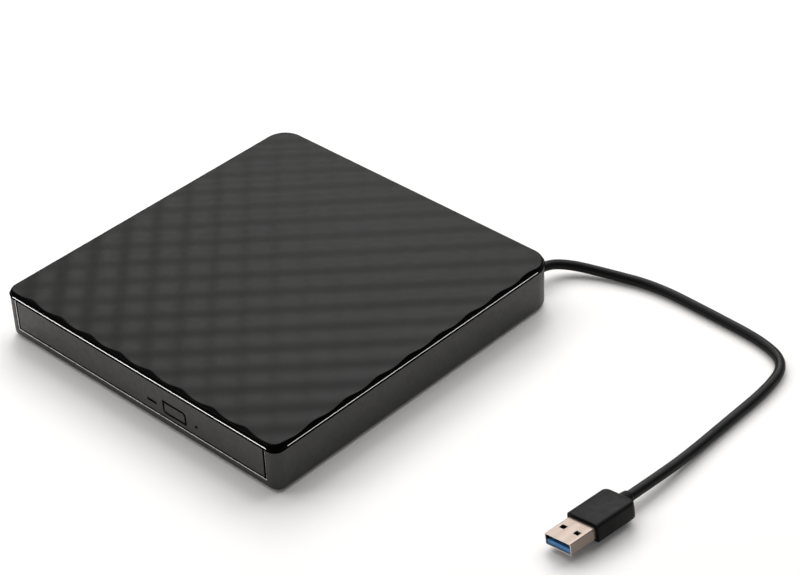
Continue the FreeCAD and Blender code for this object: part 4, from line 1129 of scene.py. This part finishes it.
@dataclass
class OuterShell:
    """The lower case, the tray's front panel and the eject button, with their edges rounded as moulded, pale
    painted highlights on those edges and painted shade in their grooves and gaps.
    """

    case_edge: float = 0.28
    panel_edge: float = 0.22
    button_edge: float = 0.3
    # Width of the band round the button's front that is painted black as shade.
    shaded_gap_band: float = 0.3
    widest_band: float = 8.0
    front: float = -74.3
    groove_low: float = 17.66
    opening_half: float = 66.75
    opening_low: float = 4.4
    opening_depth: float = 4.0
    steep: float = 0.3
    touch: float = 0.02

    def build(self, shelf: FinishShelf) -> None:
        """Make the softened pieces in place of their solids.

        Args:
            shelf: Where the finishes come from.
        """
        rows = (
            ("moulded_case", "lower_case", "case", "case_plastic", self.case_edge, self.in_case_groove),
            ("front_panel", "tray_bezel", "tray", "bezel_plastic", self.panel_edge, self.off_front),
            ("eject_key", "eject_button", "button", "bezel_plastic", self.button_edge, self.off_front),
        )
        for name, node, body, slot, width, shade_mask in rows:
            piece = Bench.softened(name, node, width)
            piece.data.materials[0] = shelf.get(slot)
            # The rounded edges take a pale finish, a painted highlight line along each edge.
            piece.data.materials[1] = shelf.get(slot + "_edge")
            # Painted shade: near black on the faces that the mask picks.
            Bench.paint(piece, shelf.get("groove"), shade_mask)
            if node == "lower_case":
                # Painted highlight: near white on the rounded edge round the front opening.
                Bench.paint(piece, shelf.get("painted_edge_highlight"), self.on_opening_edge)
            if node == "eject_button":
                # The band round the button's front is painted black as the shade of the gap round it.
                Bench.pick(piece, Pick.FACES, lambda face: face.normal.y < -FACING)
                bpy.ops.mesh.inset(thickness=self.shaded_gap_band * MM)
                Bench.paint(piece, shelf.get("groove"), self.on_shaded_gap_band)
                Bench.even_out(piece)
            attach(piece, body)
            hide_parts(node)

    def in_opening(self, middle: Vector, spare: float) -> bool:
        """Say whether a place in millimetres is on the front opening's walls, within some spare room."""
        inside = abs(middle.x) < self.opening_half + spare and middle.z > self.opening_low - spare
        return inside and self.front - self.touch < middle.y < self.front + self.opening_depth

    def in_case_groove(self, face: object) -> bool:
        """Pick the tongue under the cover and the front opening's walls, for painted shade."""
        middle = face.calc_center_median() / MM
        if middle.z > self.groove_low:
            return True
        return self.in_opening(middle, self.touch) and abs(face.normal.y) < self.steep

    def on_opening_edge(self, face: object) -> bool:
        """Pick the rounded edge round the front opening, for a painted highlight."""
        middle = face.calc_center_median() / MM
        slanted = self.steep <= abs(face.normal.y) < FACING
        return slanted and self.in_opening(middle, self.case_edge) and middle.z < self.groove_low

    def on_shaded_gap_band(self, face: object) -> bool:
        """Pick the narrow band round the button's front, painted black as the shade of the gap round the
        button.
        """
        return face.normal.y < -FACING and face.calc_area() < self.widest_band * MM * MM

    def off_front(self, face: object) -> bool:
        """Pick every face that doesn't look straight ahead, for painted shade."""
        return abs(face.normal.y) < FACING


@dataclass
class Fasteners:
    """Small cross-head screws, modelled once and copied to the drive's plates and boards."""

    head_radius: float = 1.4
    head_height: float = 0.34
    low_head_height: float = 0.14
    shank_radius: float = 0.6
    shank_length: float = 0.4
    slot_width: float = 0.34
    slot_length: float = 1.7
    slot_floor: float = 0.3
    head_shape: Spots = ((1.0, 0.0), (1.0, 0.45), (0.88, 0.8), (0.6, 1.0), (0.0, 1.0))
    sides: int = 24
    twist: float = 23.0
    sled_turn: float = 225.0
    spindle_y: float = -9.5
    cover_top: float = 11.7
    cover_spots: Spots = ((-14.0, -12.0), (12.0, 19.5), (57.0, -13.5), (52.0, 17.0))
    plate_under: float = 5.15
    plate_spots: Spots = ((-54.0, -64.0), (-54.0, 14.0), (8.0, -64.0), (12.0, 12.0))
    lid_top: float = 17.0
    lid_spots: Spots = ((-58.0, -60.0), (58.0, -60.0), (-58.0, 46.0), (58.0, 46.0))
    board_top: float = 8.0
    board_spots: Spots = ((-44.0, 64.75), (6.0, 64.75))

    def make(self, name: str, height: float) -> Piece:
        """Turn one screw with its seat at height 0 and sink the cross into its head.

        Args:
            name: The screw's name.
            height: The head's height.

        Returns:
            The screw, standing upright on the origin.
        """
        shank = [(0.0, -self.shank_length), (self.shank_radius, -self.shank_length), (self.shank_radius, 0.0)]
        head = [(self.head_radius * across, height * up) for across, up in self.head_shape]
        screw = Bench.turned(name, shank + head, self.sides)
        low = height * self.slot_floor
        for wide, long in ((self.slot_width, self.slot_length), (self.slot_length, self.slot_width)):
            cutter = Bench.block("cross_cutter", (-wide / 2, -long / 2, low),
                                 (wide / 2, long / 2, height + 1))
            Bench.modify(screw, "BOOLEAN", object=cutter, operation="DIFFERENCE", solver="EXACT")
            Bench.scrap(cutter)
        return Bench.close(screw, 30.0)

    def build(self, shelf: FinishShelf) -> None:
        """Make the screws and put them in their places.

        Args:
            shelf: Where the finish comes from.
        """
        high = self.make("high_screw", self.head_height)
        low = self.make("low_screw", self.low_head_height)
        path = Matrix.Translation((0, self.spindle_y * MM, 0))
        path = path @ Matrix.Rotation(math.radians(self.sled_turn), 4, "Z")
        over = Matrix.Rotation(math.pi, 4, "X")
        rows = (
            ("cover_screw", high, "tray", path, self.cover_spots, self.cover_top, Matrix()),
            ("plate_screw", low, "tray", Matrix(), self.plate_spots, self.plate_under, over),
            ("lid_screw", high, "case", Matrix(), self.lid_spots, self.lid_top, Matrix()),
            ("board_screw", high, "case", Matrix(), self.board_spots, self.board_top, Matrix()),
        )
        for name, screw, body, frame_place, spots, height, turn in rows:
            for number, (x, y) in enumerate(spots, 1):
                place = frame_place @ Matrix.Translation(Vector((x, y, height)) * MM) @ turn
                twist = Matrix.Rotation(math.radians(self.twist * number), 4, "Z")
                twin = Bench.copy(screw, f"{name}_{number}", place @ twist)
                shelf.dress(twin, "rail_steel")
                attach(twin, body)
        for screw in (high, low):
            Bench.scrap(screw)


def report_pieces() -> None:
    """Log each piece that was made here, with its kind."""
    packed = set(frame["nodes"])
    for piece in bpy.context.scene.objects:
        if piece.name not in packed:
            log.info("%s: %s", piece.name, piece.type.lower())


def main() -> None:
    """Build the scene and report each piece."""
    logging.basicConfig(level=logging.INFO, format="%(message)s")
    shelf = FinishShelf()
    shelf.dress_nodes()
    PhotoCamera().build()
    CordAndPlug().build(shelf)
    Studio().build()
    OuterShell().build(shelf)
    Fasteners().build(shelf)
    WavedCover().build(shelf)
    report_pieces()


if __name__ == "__main__":
    main()
